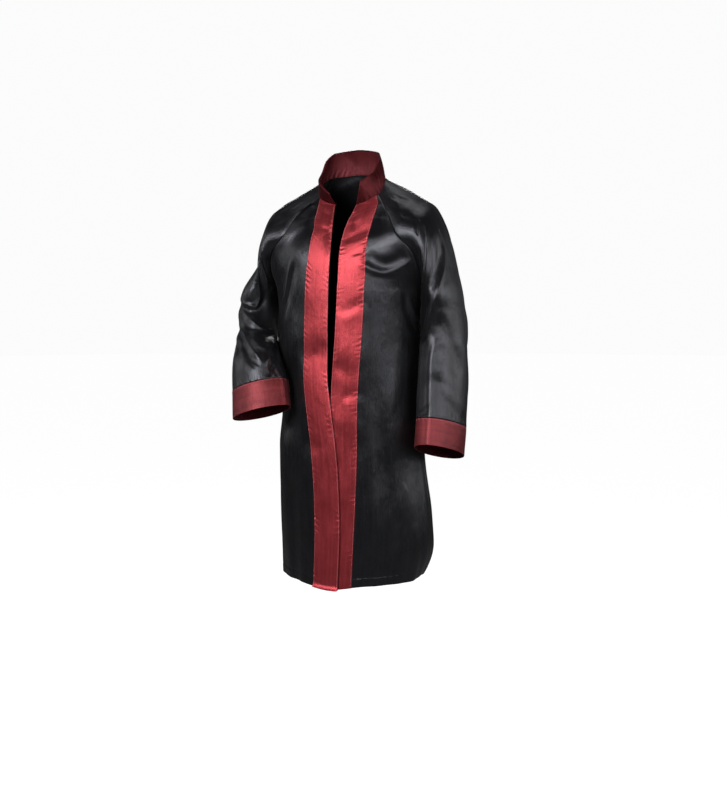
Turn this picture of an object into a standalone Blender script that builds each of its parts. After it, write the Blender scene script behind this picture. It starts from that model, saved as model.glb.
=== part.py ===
"""Graduation gown in satin, in the hollow shape it has when worn.

Metres, +Z up. The gown faces -Y and its own left side is +X. The origin is the middle of the
neck, level with the collar seam on the shoulders, where the gown is held up. Tables are in
millimetres and degrees. Both sides are worked out with X pointing outwards and then mirrored.
Each piece is a wall: a grid of outer points, and the same grid moved in by the cloth's thickness.
"""
import math

import bpy
import numpy as np

MM = 0.001

CLOTH = 1.5
COLLAR_CLOTH = 2.4
SEAM_GAP = 0.3

NECK_HALF_WIDTH = 69.0
NECK_FRONT_DEPTH = 48.0
NECK_BACK_DEPTH = 50.0
NECK_FRONT_Z = -44.0
NECK_BACK_Z = 22.0
UNDERARM = (156.0, 0.0, -212.0)
HEM_Z = -780.0
HEM_FRONT_DIP = 8.0
BAND_END_DIP = 8.0
DIP_WIDTH = 90.0

RAGLAN_ROWS = 12
BODY_ROWS = 15
SLEEVE_ROWS = 12
CUFF_ROWS = 2
COLLAR_ROWS = 3
BAND_COLUMNS = 3
FRONT_COLUMNS = 12
BACK_COLUMNS = 24
SLEEVE_COLUMNS = 24
DENSE = 241

# Beside a yoke seam the wall's normals turn into the seam's own over this distance.
NORMAL_EASE = 9.0
# Two pieces share their normals along a seam where these agree this well, from none to fully.
AGREE_NONE, AGREE_FULL = 0.1, 0.6
# A yoke row stays level near its middle line and drops near its seam: the power of that curve.
YOKE_DROP_POWER = 1.6
# The sleeve's first ring is pulled into the underarm point: the power of that pull.
UNDERARM_PULL_POWER = 4

LEFT, RIGHT = "left", "right"
SIDE_SIGN = {LEFT: 1.0, RIGHT: -1.0}

# Collar seam: angle from the front, height.
NECK_RING = [(60, -29), (68, -24), (90, -3), (112, 9), (125, 15)]
# Where the raglan seams meet the collar seam, by ring angle.
RAGLAN_FRONT_ANGLE = {LEFT: 68.0, RIGHT: 63.0}
RAGLAN_BACK_ANGLE = 125.0

# Fullness of the body: height, distance of the front surface ahead of the neck's middle.
FRONT_DEPTH = [(-44, 48), (-90, 75), (-130, 92), (-190, 102), (-250, 106), (-300, 108),
               (-400, 112), (-550, 116), (-780, 120)]
# Height, distance of the back surface behind the neck's middle.
BACK_DEPTH = [(22, 50), (-20, 62), (-80, 74), (-150, 82), (-212, 84), (-300, 83), (-420, 88),
              (-600, 98), (-780, 106)]
# Height, half width on the left, half width on the right.
BODY_WIDTH = [(-212, 156, 156), (-250, 148, 152), (-300, 144, 152), (-350, 144, 153),
              (-420, 147, 151), (-480, 150, 151), (-545, 152, 150), (-632, 163, 147),
              (-700, 167, 144), (-780, 165, 139)]
# Height, distance of the front edge from the middle, towards the piece's own side.
FRONT_EDGE = {
    LEFT: [(-44, 27), (-94, 15), (-192, 11), (-300, 7), (-402, 0), (-548, -1), (-788, -10)],
    RIGHT: [(-44, 16), (-126, 8), (-192, 8), (-290, 8), (-388, 5), (-432, -2), (-548, -17),
            (-664, -22), (-788, -18)],
}
# Height, width of the sewn band. Near the neck it takes up nearly the whole of the front.
BAND_WIDTH = {
    LEFT: [(-44, 54), (-788, 54)],
    RIGHT: [(-44, 46), (-87, 42), (-130, 46), (-180, 50), (-260, 53), (-788, 53)],
}
BAND_SHARE = 0.88
# The right front laps over the left one below this height, each moved by half the step.
LAP_TOP_Z = -320.0
LAP_FULL_Z = -420.0
LAP_STEP = {LEFT: -3.0, RIGHT: 3.0}
LAP_FLAT = 62.0
LAP_FADE = 120.0

# Raglan seams between neckline and underarm: outwards, back, up.
FRONT_RAGLAN = {
    LEFT: [(101, -57, -70), (125, -72, -108), (145, -63, -130), (155, -50, -156), (157, -20, -195)],
    RIGHT: [(98, -55, -68), (121, -72, -108), (145, -63, -134), (156, -50, -160), (158, -20, -197)],
}
BACK_RAGLAN = [(80, 45, -20), (100, 57, -60), (123, 65, -102), (145, 60, -138), (154, 46, -165),
               (157, 20, -195)]
# Sleeve over the shoulder: share of the raglan seam, ridge point (out, back, up), half depth.
SHOULDER = {
    LEFT: [(0.265, 119, 3, -18, 57), (0.454, 151, 4, -36, 69), (0.578, 172, 5, -53, 72),
           (0.70, 191, 4, -88, 74), (0.896, 212, 2, -162, 74)],
    RIGHT: [(0.265, 119, 3, -26, 56), (0.454, 149, 3, -44, 69), (0.578, 166, 2, -64, 72),
            (0.70, 176, 0, -98, 73), (0.896, 187, 0, -154, 72)],
}
# Sleeve below the underarm: centre (out, back, up), half width, half depth, roll, pitch, yaw.
SLEEVE = {
    LEFT: [(190, 0, -208, 34, 74, 5, 0, 0), (190, 6, -254, 39, 75, 2, 4, 0),
           (191, 9, -302, 42, 76, 0, 6, 0), (193, 2, -360, 43, 77, 0, 8, 0),
           (196, -11, -415, 44, 78, 0, 11, 0), (198, -24, -471, 44, 78, 0, 15, 0),
           (198, -37, -524, 44, 79, 0, 16, 0)],
    RIGHT: [(189, 0, -208, 34, 72, 5, 0, 0), (198, 0, -250, 38, 72, -3, 2, 4),
            (194, -28, -302, 39, 71, -8, 8, 12), (172, -82, -352, 49, 72, -10, 14, 24),
            (157, -98, -402, 56, 70, -10, 16, 28), (146, -114, -453, 58, 69, -10, 15, 30)],
}
CUFF_LENGTH = 54.0

# Collar: share of the way round (0 left front end, 1 right front end), then the way from its
# seam to its top edge: left, back, up.
COLLAR_RISE = [(0.0, 10, -5, 45), (0.07, -3, -3, 45), (0.22, -13, 0, 44), (0.35, -8, -2, 46),
               (0.5, 0, -7, 46), (0.65, 8, -2, 46), (0.78, 11, -3, 42), (0.93, -4, -18, 32),
               (1.0, -6, -20, 20)]

# Soft vertical folds of the body: ring angle above, ring angle at the hem, half width in
# degrees, height where the fold begins, depth at the hem (minus is a trough).
BODY_FOLDS = [(-62, -70, 13, -480, 4), (-40, -36, 11, -470, -4), (38, 42, 12, -380, -4),
              (64, 66, 12, -560, 5), (103, 106, 12, -560, 5), (128, 132, 13, -260, -7),
              (153, 156, 12, -230, 7), (178, 182, 13, -260, -7), (205, 203, 12, -230, 7),
              (231, 228, 13, -270, -6), (256, 254, 12, -540, 5)]
FOLD_RUN_IN = 220.0
# The bent sleeve presses the right front in: ring angle, half width, height, half height, depth.
SLEEVE_DENT = (-56.0, 40.0, -420.0, 105.0, 16.0)
# The hem turns in at the left back: ring angle, half width, height of the bulge, depth.
HEM_TUCK = (98.0, 60.0, -712.0, 20.0)

# The sleeve's girth, for lengths along its folds. The folds fade in over the shoulder between two
# distances below the underarm, and fade out beside the underarm seam with this power.
SLEEVE_GIRTH = 400.0
SLEEVE_FOLD_START, SLEEVE_FOLD_FULL = -90.0, 10.0
SEAM_KEEP_POWER = 6
# Sleeve folds: angle round the sleeve and distance below the underarm at both ends (0 front,
# 90 outside, 180 back), half width, depth (minus is a trough).
SLEEVE_FOLDS = {
    LEFT: [(20, 70, 60, 160, 26, -5), (70, 110, 140, 190, 28, 5), (10, 190, 80, 235, 26, 4),
           (170, 40, 215, 130, 28, -5), (200, 150, 150, 240, 26, 4)],
    RIGHT: [(105, 30, -10, 78, 22, 7), (110, 64, 40, 100, 20, -6), (100, 84, 20, 130, 22, 5),
            (150, 60, 215, 110, 28, -6), (60, 150, 0, 110, 24, -4), (170, 130, 230, 170, 26, 5)],
}

BLACK_SATIN = ((0.006, 0.006, 0.007, 1.0), 0.38)
BURGUNDY_SATIN = ((0.16, 0.012, 0.018, 1.0), 0.36)


def through(keys, values, at):
    """Smooth curve through a table's rows: cubic pieces whose slopes come from their neighbours."""
    order = np.argsort(keys)
    keys = np.asarray(keys, float)[order]
    values = np.asarray(values, float)[order]
    at = np.clip(np.asarray(at, float), keys[0], keys[-1])
    slopes = np.gradient(values, keys, axis=0)
    piece = np.clip(np.searchsorted(keys, at, side="right") - 1, 0, len(keys) - 2)
    step = keys[piece + 1] - keys[piece]
    t = (at - keys[piece]) / step
    extra = (1,) * (values.ndim - 1)
    t = t.reshape(t.shape + extra)
    step = step.reshape(step.shape + extra)
    start, end = values[piece], values[piece + 1]
    leave, arrive = slopes[piece] * step, slopes[piece + 1] * step
    return (start * (1 + 2 * t) * (1 - t) ** 2 + leave * t * (1 - t) ** 2
            + end * t * t * (3 - 2 * t) + arrive * t * t * (t - 1))


def column(table, index):
    return [row[index] for row in table]


def look_up(table, at, index=1):
    return through(column(table, 0), column(table, index), at)


def smooth_step(low, high, value):
    """0 below low, 1 above high, and an even S between them."""
    t = np.clip((value - low) / (high - low), 0.0, 1.0)
    return t * t * (3 - 2 * t)


def bump(distance):
    """A round hill: 1 at 0, 0 from 1 on."""
    return np.where(np.abs(distance) < 1.0, np.cos(np.clip(distance, -1, 1) * math.pi / 2) ** 2, 0.0)


def unit(vectors):
    return vectors / np.maximum(np.linalg.norm(vectors, axis=-1, keepdims=True), 1e-9)


def run_length(points):
    """Distance along a row of points, from its first one."""
    steps = np.linalg.norm(np.diff(points, axis=0), axis=1)
    return np.concatenate([[0.0], np.cumsum(steps)])


def at_lengths(points, lengths):
    """The points of a curve at the given distances from its start."""
    run = run_length(points)
    return np.stack([np.interp(lengths, run, points[:, axis]) for axis in range(3)], axis=1)


def spaced(points, count):
    return at_lengths(points, np.linspace(0.0, run_length(points)[-1], count))


def neck_point(angle):
    """A point of the collar seam, by its angle from the front."""
    angle = np.asarray(angle, float)
    turn = np.radians(angle)
    depth = np.where(angle < 90, NECK_FRONT_DEPTH, NECK_BACK_DEPTH)
    return np.stack([NECK_HALF_WIDTH * np.sin(turn), -depth * np.cos(turn),
                     look_up(NECK_RING, angle)], axis=-1)


def raglan_seam(side, front):
    """Points of a raglan seam, one for each raglan row, from the neckline to the underarm."""
    angle = RAGLAN_FRONT_ANGLE[side] if front else RAGLAN_BACK_ANGLE
    middle = FRONT_RAGLAN[side] if front else BACK_RAGLAN
    marks = np.array([tuple(neck_point(angle))] + list(middle) + [UNDERARM], float)
    dense = through(run_length(marks), marks, np.linspace(0, run_length(marks)[-1], DENSE))
    return spaced(dense, RAGLAN_ROWS + 1)


def body_push(angle, height):
    """How far the folds, the press of the sleeve and the tucked hem move the body outwards."""
    push = np.zeros(np.broadcast(angle, height).shape)
    for top, hem, half, begin, depth in BODY_FOLDS:
        middle = top + (hem - top) * np.clip((height - begin) / (HEM_Z - begin), 0, 1)
        away = (angle - middle + 180.0) % 360.0 - 180.0
        push += depth * bump(away / half) * smooth_step(0, FOLD_RUN_IN, begin - height)
    middle, half, level, half_height, depth = SLEEVE_DENT
    away = (angle - middle + 180.0) % 360.0 - 180.0
    push -= depth * bump(away / half) * bump((height - level) / half_height)
    middle, half, level, depth = HEM_TUCK
    away = (angle - middle + 180.0) % 360.0 - 180.0
    push -= depth * bump(away / half) * np.clip((level - height) / (level - HEM_Z), 0, None) ** 2
    return push


def body_row(side, front, row, seam):
    """One row of a body panel, from its middle line out to its seam.

    It is part of an ellipse. Its depth comes from the tables, and its half width is the one that
    brings it through the seam point, or the body's own half width below the underarm.
    """
    sign = SIDE_SIGN[side]
    depth_table = FRONT_DEPTH if front else BACK_DEPTH
    facing = -1.0 if front else 1.0
    share = np.linspace(0.0, 1.0, DENSE)
    if row <= RAGLAN_ROWS:
        seam_x, seam_y, seam_z = seam[row]
        top_z = NECK_FRONT_Z if front else NECK_BACK_Z
        middle_z = top_z + (UNDERARM[2] - top_z) * row / RAGLAN_ROWS
        ratio = abs(seam_y) / float(look_up(depth_table, seam_z))
        half_width = seam_x / math.sqrt(1.0 - ratio * ratio)
        start = float(look_up(FRONT_EDGE[side], middle_z)) if front else 0.0
        first = math.asin(start / half_width)
        last = math.acos(ratio)
        turn = first + (last - first) * share
        height = middle_z + (seam_z - middle_z) * ((np.sin(turn) - math.sin(first))
                                                   / (math.sin(last) - math.sin(first))
                                                   ) ** YOKE_DROP_POWER
    else:
        fall = (row - RAGLAN_ROWS) / BODY_ROWS
        level = UNDERARM[2] + (HEM_Z - UNDERARM[2]) * fall
        half_width = float(look_up(BODY_WIDTH, level, 1 if side == LEFT else 2))
        start = float(look_up(FRONT_EDGE[side], level)) if front else 0.0
        first = math.asin(start / half_width)
        turn = first + (math.pi / 2 - first) * share
        dip = np.zeros_like(turn)
        if front:
            beside = (np.sin(turn) - math.sin(first)) * half_width
            dip = HEM_FRONT_DIP * np.cos(turn) ** 2 + BAND_END_DIP * bump(beside / DIP_WIDTH)
        height = level - dip * fall
    depth = look_up(depth_table, height)
    ring_angle = np.degrees(turn) if front else 180.0 - np.degrees(turn)
    push = body_push(sign * ring_angle, height)
    out = np.stack([np.sin(turn), facing * np.cos(turn)], axis=1)
    points = np.stack([half_width * out[:, 0] + push * out[:, 0],
                       depth * out[:, 1] + push * out[:, 1], height], axis=1)
    if front:
        run = run_length(points)
        lap = smooth_step(-LAP_TOP_Z, -LAP_FULL_Z, -height)
        points[:, 1] -= LAP_STEP[side] * lap * (1 - smooth_step(LAP_FLAT, LAP_FADE, run))
    return points


def front_grid(side):
    """Outer points of a front: the band's columns keep its width, the rest share what is left."""
    seam = raglan_seam(side, True)
    rows = []
    for row in range(RAGLAN_ROWS + BODY_ROWS + 1):
        points = body_row(side, True, row, seam)
        whole = run_length(points)[-1]
        width = float(look_up(BAND_WIDTH[side], points[0, 2]))
        band = min(width, whole * BAND_SHARE)
        beside = FRONT_COLUMNS - BAND_COLUMNS
        lengths = np.concatenate([np.linspace(0, band, BAND_COLUMNS + 1),
                                  np.linspace(band, whole, beside + 1)[1:]])
        rows.append(at_lengths(points, lengths))
    grid = np.array(rows)
    grid[..., 0] *= SIDE_SIGN[side]
    return grid


def back_grid():
    """Outer points of the back, from the left seam across the middle to the right seam."""
    halves = []
    for side in (LEFT, RIGHT):
        seam = raglan_seam(side, False)
        half = np.array([spaced(body_row(side, False, row, seam), BACK_COLUMNS // 2 + 1)
                         for row in range(RAGLAN_ROWS + BODY_ROWS + 1)])
        half[..., 0] *= SIDE_SIGN[side]
        halves.append(half)
    return np.concatenate([halves[0][:, ::-1], halves[1][:, 1:]], axis=1)


def shoulder_section(front_end, back_end, ridge, half_depth):
    """Part of an ellipse from the front raglan seam over the ridge to the back one."""
    middle = (front_end + back_end) / 2
    half_chord = np.linalg.norm(front_end - back_end) / 2
    forward = unit(front_end - back_end + np.array([0, -1e-6, 0]))
    start = -math.acos(min(half_chord / half_depth, 1.0))
    reach = np.linalg.norm(ridge - middle) / (1 - math.sin(start))
    outward = unit(ridge - middle)
    centre = ridge - reach * outward
    turn = np.linspace(start, math.pi - start, DENSE)[:, None]
    points = centre + reach * np.sin(turn) * outward + half_depth * np.cos(turn) * forward
    share = np.linspace(0, 1, DENSE)[:, None]
    return (points + (front_end - points[0]) * (1 - share) ** 2
            + (back_end - points[-1]) * share ** 2)


def tube_section(centre, half_width, half_depth, roll, pitch, yaw):
    """A tilted ellipse round a sleeve, from the inside over the front and outside and back."""
    roll, pitch, yaw = (math.radians(angle) for angle in (roll, pitch, yaw))
    outward = np.array([math.cos(roll) * math.cos(yaw), -math.cos(roll) * math.sin(yaw),
                        math.sin(roll)])
    forward = np.array([-math.sin(yaw) * math.cos(pitch), -math.cos(yaw) * math.cos(pitch),
                        math.sin(pitch)])
    turn = np.linspace(-math.pi / 2, 1.5 * math.pi, DENSE)[:, None]
    return (np.array(centre) + half_width * np.sin(turn) * outward
            + half_depth * np.cos(turn) * forward)


def sleeve_push(side, angle, distance):
    """How far the sleeve's folds move a point out: soft hills along straight lines in the cloth."""
    push = np.zeros(angle.shape)
    for angle_a, along_a, angle_b, along_b, half, depth in SLEEVE_FOLDS[side]:
        scale = SLEEVE_GIRTH / 360.0
        line = np.array([(angle_b - angle_a) * scale, along_b - along_a])
        across, down = (angle - angle_a) * scale, distance - along_a
        share = np.clip((across * line[0] + down * line[1]) / (line @ line), 0, 1)
        away = np.hypot(across - share * line[0], down - share * line[1])
        push += depth * bump(away / half)
    return push


def sleeve_grid(side):
    """Outer points of a sleeve and its cuff: smooth columns through the key sections."""
    front_seam, back_seam = raglan_seam(side, True), raglan_seam(side, False)
    raglan_length = run_length(front_seam)[-1]
    angles = np.linspace(RAGLAN_FRONT_ANGLE[side], RAGLAN_BACK_ANGLE, DENSE)
    keys = [0.0]
    sections = [spaced(neck_point(angles), SLEEVE_COLUMNS + 1)]
    for share, out, back, up, half_depth in SHOULDER[side]:
        row = share * RAGLAN_ROWS
        ends = [through(np.arange(RAGLAN_ROWS + 1), seam, np.array(row))
                for seam in (front_seam, back_seam)]
        section = shoulder_section(ends[0], ends[1], np.array([out, back, up], float), half_depth)
        keys.append(share * raglan_length)
        sections.append(spaced(section, SLEEVE_COLUMNS + 1))
    centre_run = run_length(np.array([row[:3] for row in SLEEVE[side]], float))
    for run, row in zip(centre_run, SLEEVE[side]):
        section = tube_section(row[:3], *row[3:])
        if run == 0.0:
            share = np.linspace(0, 1, DENSE)[:, None]
            pull = (2 * share - 1) ** UNDERARM_PULL_POWER
            section = section + (np.array(UNDERARM) - section[0]) * pull
        keys.append(raglan_length + run)
        sections.append(spaced(section, SLEEVE_COLUMNS + 1))
    arm = centre_run[-1] - CUFF_LENGTH
    at = np.concatenate([np.linspace(0, raglan_length, RAGLAN_ROWS + 1),
                         raglan_length + np.linspace(0, arm, SLEEVE_ROWS + 1)[1:],
                         raglan_length + arm + np.linspace(0, CUFF_LENGTH, CUFF_ROWS + 1)[1:]])
    grid = through(keys, np.array(sections), at)
    grid[:RAGLAN_ROWS + 1, 0] = front_seam
    grid[:RAGLAN_ROWS + 1, -1] = back_seam
    normals = grid_normals(grid, RAGLAN_ROWS)
    below, across = np.meshgrid(at - raglan_length, np.linspace(-1, 1, SLEEVE_COLUMNS + 1),
                                indexing="ij")
    fade = smooth_step(SLEEVE_FOLD_START, SLEEVE_FOLD_FULL, below)
    fade = fade * (1 - np.abs(across) ** SEAM_KEEP_POWER)
    push = sleeve_push(side, 90 + 180 * across, below) * fade
    grid = grid + push[..., None] * normals
    grid[..., 0] *= SIDE_SIGN[side]
    return grid


def grid_normals(grid, closed_from=None):
    """Unit normals of a grid whose rows run down and columns to the left hand, seen from outside."""
    down = np.gradient(grid, axis=0)
    across = np.gradient(grid, axis=1)
    if closed_from is not None:
        loop = (grid[closed_from:, 1] - grid[closed_from:, -2]) / 2
        across[closed_from:, 0] = loop
        across[closed_from:, -1] = loop
        joined = (down[closed_from:, 0] + down[closed_from:, -1]) / 2
        down[closed_from:, 0] = joined
        down[closed_from:, -1] = joined
    return unit(np.cross(down, across))


def share_normals(first, second):
    """Normals that two pieces share along a seam, where they don't fold back on each other."""
    agree = np.sum(first * second, axis=-1, keepdims=True)
    weight = smooth_step(AGREE_NONE, AGREE_FULL, agree)
    return unit(first + weight * second), unit(second + weight * first)


def ease_normals(grid, normals, column_index, rows):
    """Turn the normals beside a seam gradually into the seam's own, over a few millimetres."""
    seam_points = grid[rows, column_index][:, None]
    seam_normals = normals[rows, column_index][:, None]
    away = np.linalg.norm(grid[rows] - seam_points, axis=-1, keepdims=True)
    weight = 1 - smooth_step(0, NORMAL_EASE, away)
    normals[rows] = unit(normals[rows] * (1 - weight) + seam_normals * weight)


def draw_back(grid, edge, rows=slice(None)):
    """Pull one edge of a grid back along the cloth by half the seam's gap."""
    first, second = (0, 1) if edge in ("top", "start") else (-1, -2)
    if edge in ("top", "bottom"):
        grid[first] += unit(grid[second] - grid[first]) * SEAM_GAP / 2
    else:
        grid[rows, first] += unit(grid[rows, second] - grid[rows, first]) * SEAM_GAP / 2


def wall_mesh(name, outer, inner, closed_from=None, flip=False):
    """One closed wall between two grids. From row closed_from down, its last column is its first."""
    rows, columns = outer.shape[:2]
    closed = rows if closed_from is None else closed_from
    index = np.arange(rows * columns).reshape(rows, columns)
    index[closed:, -1] = index[closed:, 0]
    below = rows * columns
    faces = []
    for row in range(rows - 1):
        for col in range(columns - 1):
            a, b, c, d = (index[row, col], index[row + 1, col], index[row + 1, col + 1],
                          index[row, col + 1])
            for face in ([a, b, c], [a, c, d]):
                faces.append(face)
                faces.append([corner + below for corner in reversed(face)])
    rims = [list(index[0]), list(index[-1][::-1])]
    open_rows = min(closed, rows - 1)
    if open_rows > 0:
        rims.append(list(index[:open_rows + 1, 0][::-1]))
        rims.append(list(index[:open_rows + 1, -1]))
    for rim in rims:
        for a, b in zip(rim, rim[1:]):
            # The cut across a rim runs the same way on both sides of a seam.
            if a < b:
                faces += [[a, b, b + below], [a, b + below, a + below]]
            else:
                faces += [[a, b, a + below], [b, b + below, a + below]]
    faces = [[int(corner) for corner in face] for face in faces]
    if flip:
        faces = [face[::-1] for face in faces]
    points = np.concatenate([outer.reshape(-1, 3), inner.reshape(-1, 3)]) * MM
    used = sorted({corner for face in faces for corner in face})
    place = {corner: number for number, corner in enumerate(used)}
    mesh = bpy.data.meshes.new(name)
    mesh.from_pydata([tuple(points[corner]) for corner in used], [],
                     [[place[corner] for corner in face] for face in faces])
    mesh.shade_smooth()
    return mesh


def satin(name, finish):
    colour, roughness = finish
    material = bpy.data.materials.new(name)
    material.use_nodes = True
    shader = material.node_tree.nodes["Principled BSDF"]
    shader.inputs["Base Color"].default_value = colour
    shader.inputs["Roughness"].default_value = roughness
    shader.inputs["Metallic"].default_value = 0.0
    return material


def add_piece(name, mesh, finish):
    mesh.materials.append(satin(name + "_satin", finish))
    piece = bpy.data.objects.new(name, mesh)
    bpy.context.scene.collection.objects.link(piece)
    return piece


def build():
    for old in list(bpy.data.objects):
        bpy.data.objects.remove(old, do_unlink=True)
    fronts = {side: front_grid(side) for side in (LEFT, RIGHT)}
    sleeves = {side: sleeve_grid(side) for side in (LEFT, RIGHT)}
    back = back_grid()
    front_normals = {side: grid_normals(fronts[side]) * SIDE_SIGN[side] for side in fronts}
    sleeve_normals = {side: grid_normals(sleeves[side], RAGLAN_ROWS) * SIDE_SIGN[side]
                      for side in sleeves}
    back_normals = grid_normals(back)

    upper = slice(0, RAGLAN_ROWS)
    below = slice(RAGLAN_ROWS, None)
    for side, back_edge in ((LEFT, 0), (RIGHT, -1)):
        front_n, sleeve_n = front_normals[side], sleeve_normals[side]
        pairs = share_normals(front_n[below, -1], back_normals[below, back_edge])
        front_n[below, -1], back_normals[below, back_edge] = pairs
        pairs = share_normals(front_n[upper, -1], sleeve_n[upper, 0])
        front_n[upper, -1], sleeve_n[upper, 0] = pairs
        pairs = share_normals(back_normals[upper, back_edge], sleeve_n[upper, -1])
        back_normals[upper, back_edge], sleeve_n[upper, -1] = pairs
        ease_normals(fronts[side], front_n, -1, upper)
        ease_normals(back, back_normals, back_edge, upper)

    neckline = np.concatenate([fronts[LEFT][0], sleeves[LEFT][0][1:], back[0][1:],
                               sleeves[RIGHT][0][::-1][1:], fronts[RIGHT][0][::-1][1:]])

    for side in (LEFT, RIGHT):
        flip = side == RIGHT
        front, normals = fronts[side].copy(), front_normals[side]
        draw_back(front, "end")
        draw_back(front, "top")
        add_piece("front_" + side, wall_mesh("front_" + side, front, front - CLOTH * normals,
                                             flip=flip), BLACK_SATIN)
        width = slice(0, BAND_COLUMNS + 1)
        under = front[:, width] + SEAM_GAP * normals[:, width]
        over = under + CLOTH * normals[:, width]
        add_piece("band_" + side, wall_mesh("band_" + side, over, under, flip=flip),
                  BURGUNDY_SATIN)
        sleeve, normals = sleeves[side].copy(), sleeve_normals[side]
        cuff_row = RAGLAN_ROWS + SLEEVE_ROWS
        arm, cuff = sleeve[:cuff_row + 1].copy(), sleeve[cuff_row:].copy()
        draw_back(arm, "start", upper)
        draw_back(arm, "end", upper)
        arm[RAGLAN_ROWS, [0, -1]] -= SEAM_GAP * normals[RAGLAN_ROWS, [0, -1]]
        draw_back(arm, "top")
        draw_back(arm, "bottom")
        draw_back(cuff, "top")
        add_piece("sleeve_" + side,
                  wall_mesh("sleeve_" + side, arm, arm - CLOTH * normals[:cuff_row + 1],
                            RAGLAN_ROWS, flip), BLACK_SATIN)
        add_piece("cuff_" + side,
                  wall_mesh("cuff_" + side, cuff, cuff - CLOTH * normals[cuff_row:], 0, flip),
                  BURGUNDY_SATIN)

    panel = back.copy()
    draw_back(panel, "start")
    draw_back(panel, "end")
    draw_back(panel, "top")
    add_piece("back", wall_mesh("back", panel, panel - CLOTH * back_normals), BLACK_SATIN)

    seam = neckline[::2]
    share = run_length(seam) / run_length(seam)[-1]
    rise = np.stack([look_up(COLLAR_RISE, share, index) for index in (1, 2, 3)], axis=1)
    steps = np.linspace(1.0, 0.0, COLLAR_ROWS + 1)[:, None, None]
    collar = seam[None] + rise[None] * steps
    normals = grid_normals(collar)
    draw_back(collar, "bottom")
    add_piece("collar", wall_mesh("collar", collar, collar - COLLAR_CLOTH * normals),
              BURGUNDY_SATIN)


build()
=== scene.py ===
import math

import bpy
import numpy as np
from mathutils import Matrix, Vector


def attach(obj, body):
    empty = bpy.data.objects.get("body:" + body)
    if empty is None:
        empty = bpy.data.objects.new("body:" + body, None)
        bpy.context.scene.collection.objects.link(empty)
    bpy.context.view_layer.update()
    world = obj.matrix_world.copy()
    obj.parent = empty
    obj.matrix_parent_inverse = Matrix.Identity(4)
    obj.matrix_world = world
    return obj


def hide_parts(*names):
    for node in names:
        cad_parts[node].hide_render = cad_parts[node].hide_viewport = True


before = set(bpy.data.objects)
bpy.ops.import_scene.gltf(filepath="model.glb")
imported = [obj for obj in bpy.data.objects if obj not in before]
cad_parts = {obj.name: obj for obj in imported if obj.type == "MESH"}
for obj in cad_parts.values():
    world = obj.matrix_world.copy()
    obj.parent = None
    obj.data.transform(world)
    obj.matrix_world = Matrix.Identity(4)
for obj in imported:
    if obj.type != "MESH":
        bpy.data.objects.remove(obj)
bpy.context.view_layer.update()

# The looks of a satin graduation gown in the hollow shape it has when worn. It faces -Y, and its
# own left side is +X. Sizes here are millimetres and degrees, and become metres in the meshes.
MM = 0.001

LEFT, RIGHT = "left", "right"
SIDE_SIGN = {LEFT: 1.0, RIGHT: -1.0}

# Driving sizes of the cut, as in the solids.
SEAM_GAP = 0.3
NECK_HALF_WIDTH = 69.0
NECK_FRONT_DEPTH = 48.0
NECK_BACK_DEPTH = 50.0
NECK_FRONT_Z = -44.0
NECK_BACK_Z = 22.0
UNDERARM = (156.0, 0.0, -212.0)
HEM_Z = -780.0
HEM_FRONT_DIP = 8.0
BAND_END_DIP = 8.0
DIP_WIDTH = 90.0
RAGLAN_ROWS = 12
BODY_ROWS = 15
DENSE = 361
YOKE_DROP_POWER = 1.6
UNDERARM_PULL_POWER = 4
SEAM_KEEP_POWER = 6
SLEEVE_GIRTH = 400.0
SLEEVE_FOLD_START, SLEEVE_FOLD_FULL = -90.0, 10.0
CUFF_LENGTH = 54.0
BAND_SHARE = 0.88

# Collar seam: angle from the front, height.
NECK_RING = [(60, -29), (68, -24), (90, -3), (112, 9), (125, 15)]
RAGLAN_FRONT_ANGLE = {LEFT: 68.0, RIGHT: 63.0}
RAGLAN_BACK_ANGLE = 125.0
# Height, distance of the front surface ahead of the neck's middle.
FRONT_DEPTH = [(-44, 48), (-90, 75), (-130, 92), (-190, 102), (-250, 106), (-300, 108),
               (-400, 112), (-550, 116), (-780, 120)]
# Height, distance of the back surface behind the neck's middle.
BACK_DEPTH = [(22, 50), (-20, 62), (-80, 74), (-150, 82), (-212, 84), (-300, 83), (-420, 88),
              (-600, 98), (-780, 106)]
# Height, half width on the left, half width on the right.
BODY_WIDTH = [(-212, 156, 156), (-250, 148, 152), (-300, 144, 152), (-350, 144, 153),
              (-420, 147, 151), (-480, 150, 151), (-545, 152, 150), (-632, 163, 147),
              (-700, 167, 144), (-780, 165, 139)]
# Height, distance of the front edge from the middle, towards the piece's own side.
FRONT_EDGE = {
    LEFT: [(-44, 27), (-94, 15), (-192, 11), (-300, 7), (-402, 0), (-548, -1), (-788, -10)],
    RIGHT: [(-44, 16), (-126, 8), (-192, 8), (-290, 8), (-388, 5), (-432, -2), (-548, -17),
            (-664, -22), (-788, -18)],
}
# Height, width of the sewn band.
BAND_WIDTH = {
    LEFT: [(-44, 54), (-788, 54)],
    RIGHT: [(-44, 46), (-87, 42), (-130, 46), (-180, 50), (-260, 53), (-788, 53)],
}
# The right front laps over the left one below this height, each moved by half the step.
LAP_TOP_Z, LAP_FULL_Z = -320.0, -420.0
LAP_STEP = {LEFT: -3.0, RIGHT: 3.0}
LAP_FLAT, LAP_FADE = 62.0, 120.0
# Raglan seams between neckline and underarm: outwards, back, up.
FRONT_RAGLAN = {
    LEFT: [(101, -57, -70), (125, -72, -108), (145, -63, -130), (155, -50, -156),
           (157, -20, -195)],
    RIGHT: [(98, -55, -68), (121, -72, -108), (145, -63, -134), (156, -50, -160),
            (158, -20, -197)],
}
BACK_RAGLAN = [(80, 45, -20), (100, 57, -60), (123, 65, -102), (145, 60, -138), (154, 46, -165),
               (157, 20, -195)]
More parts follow.
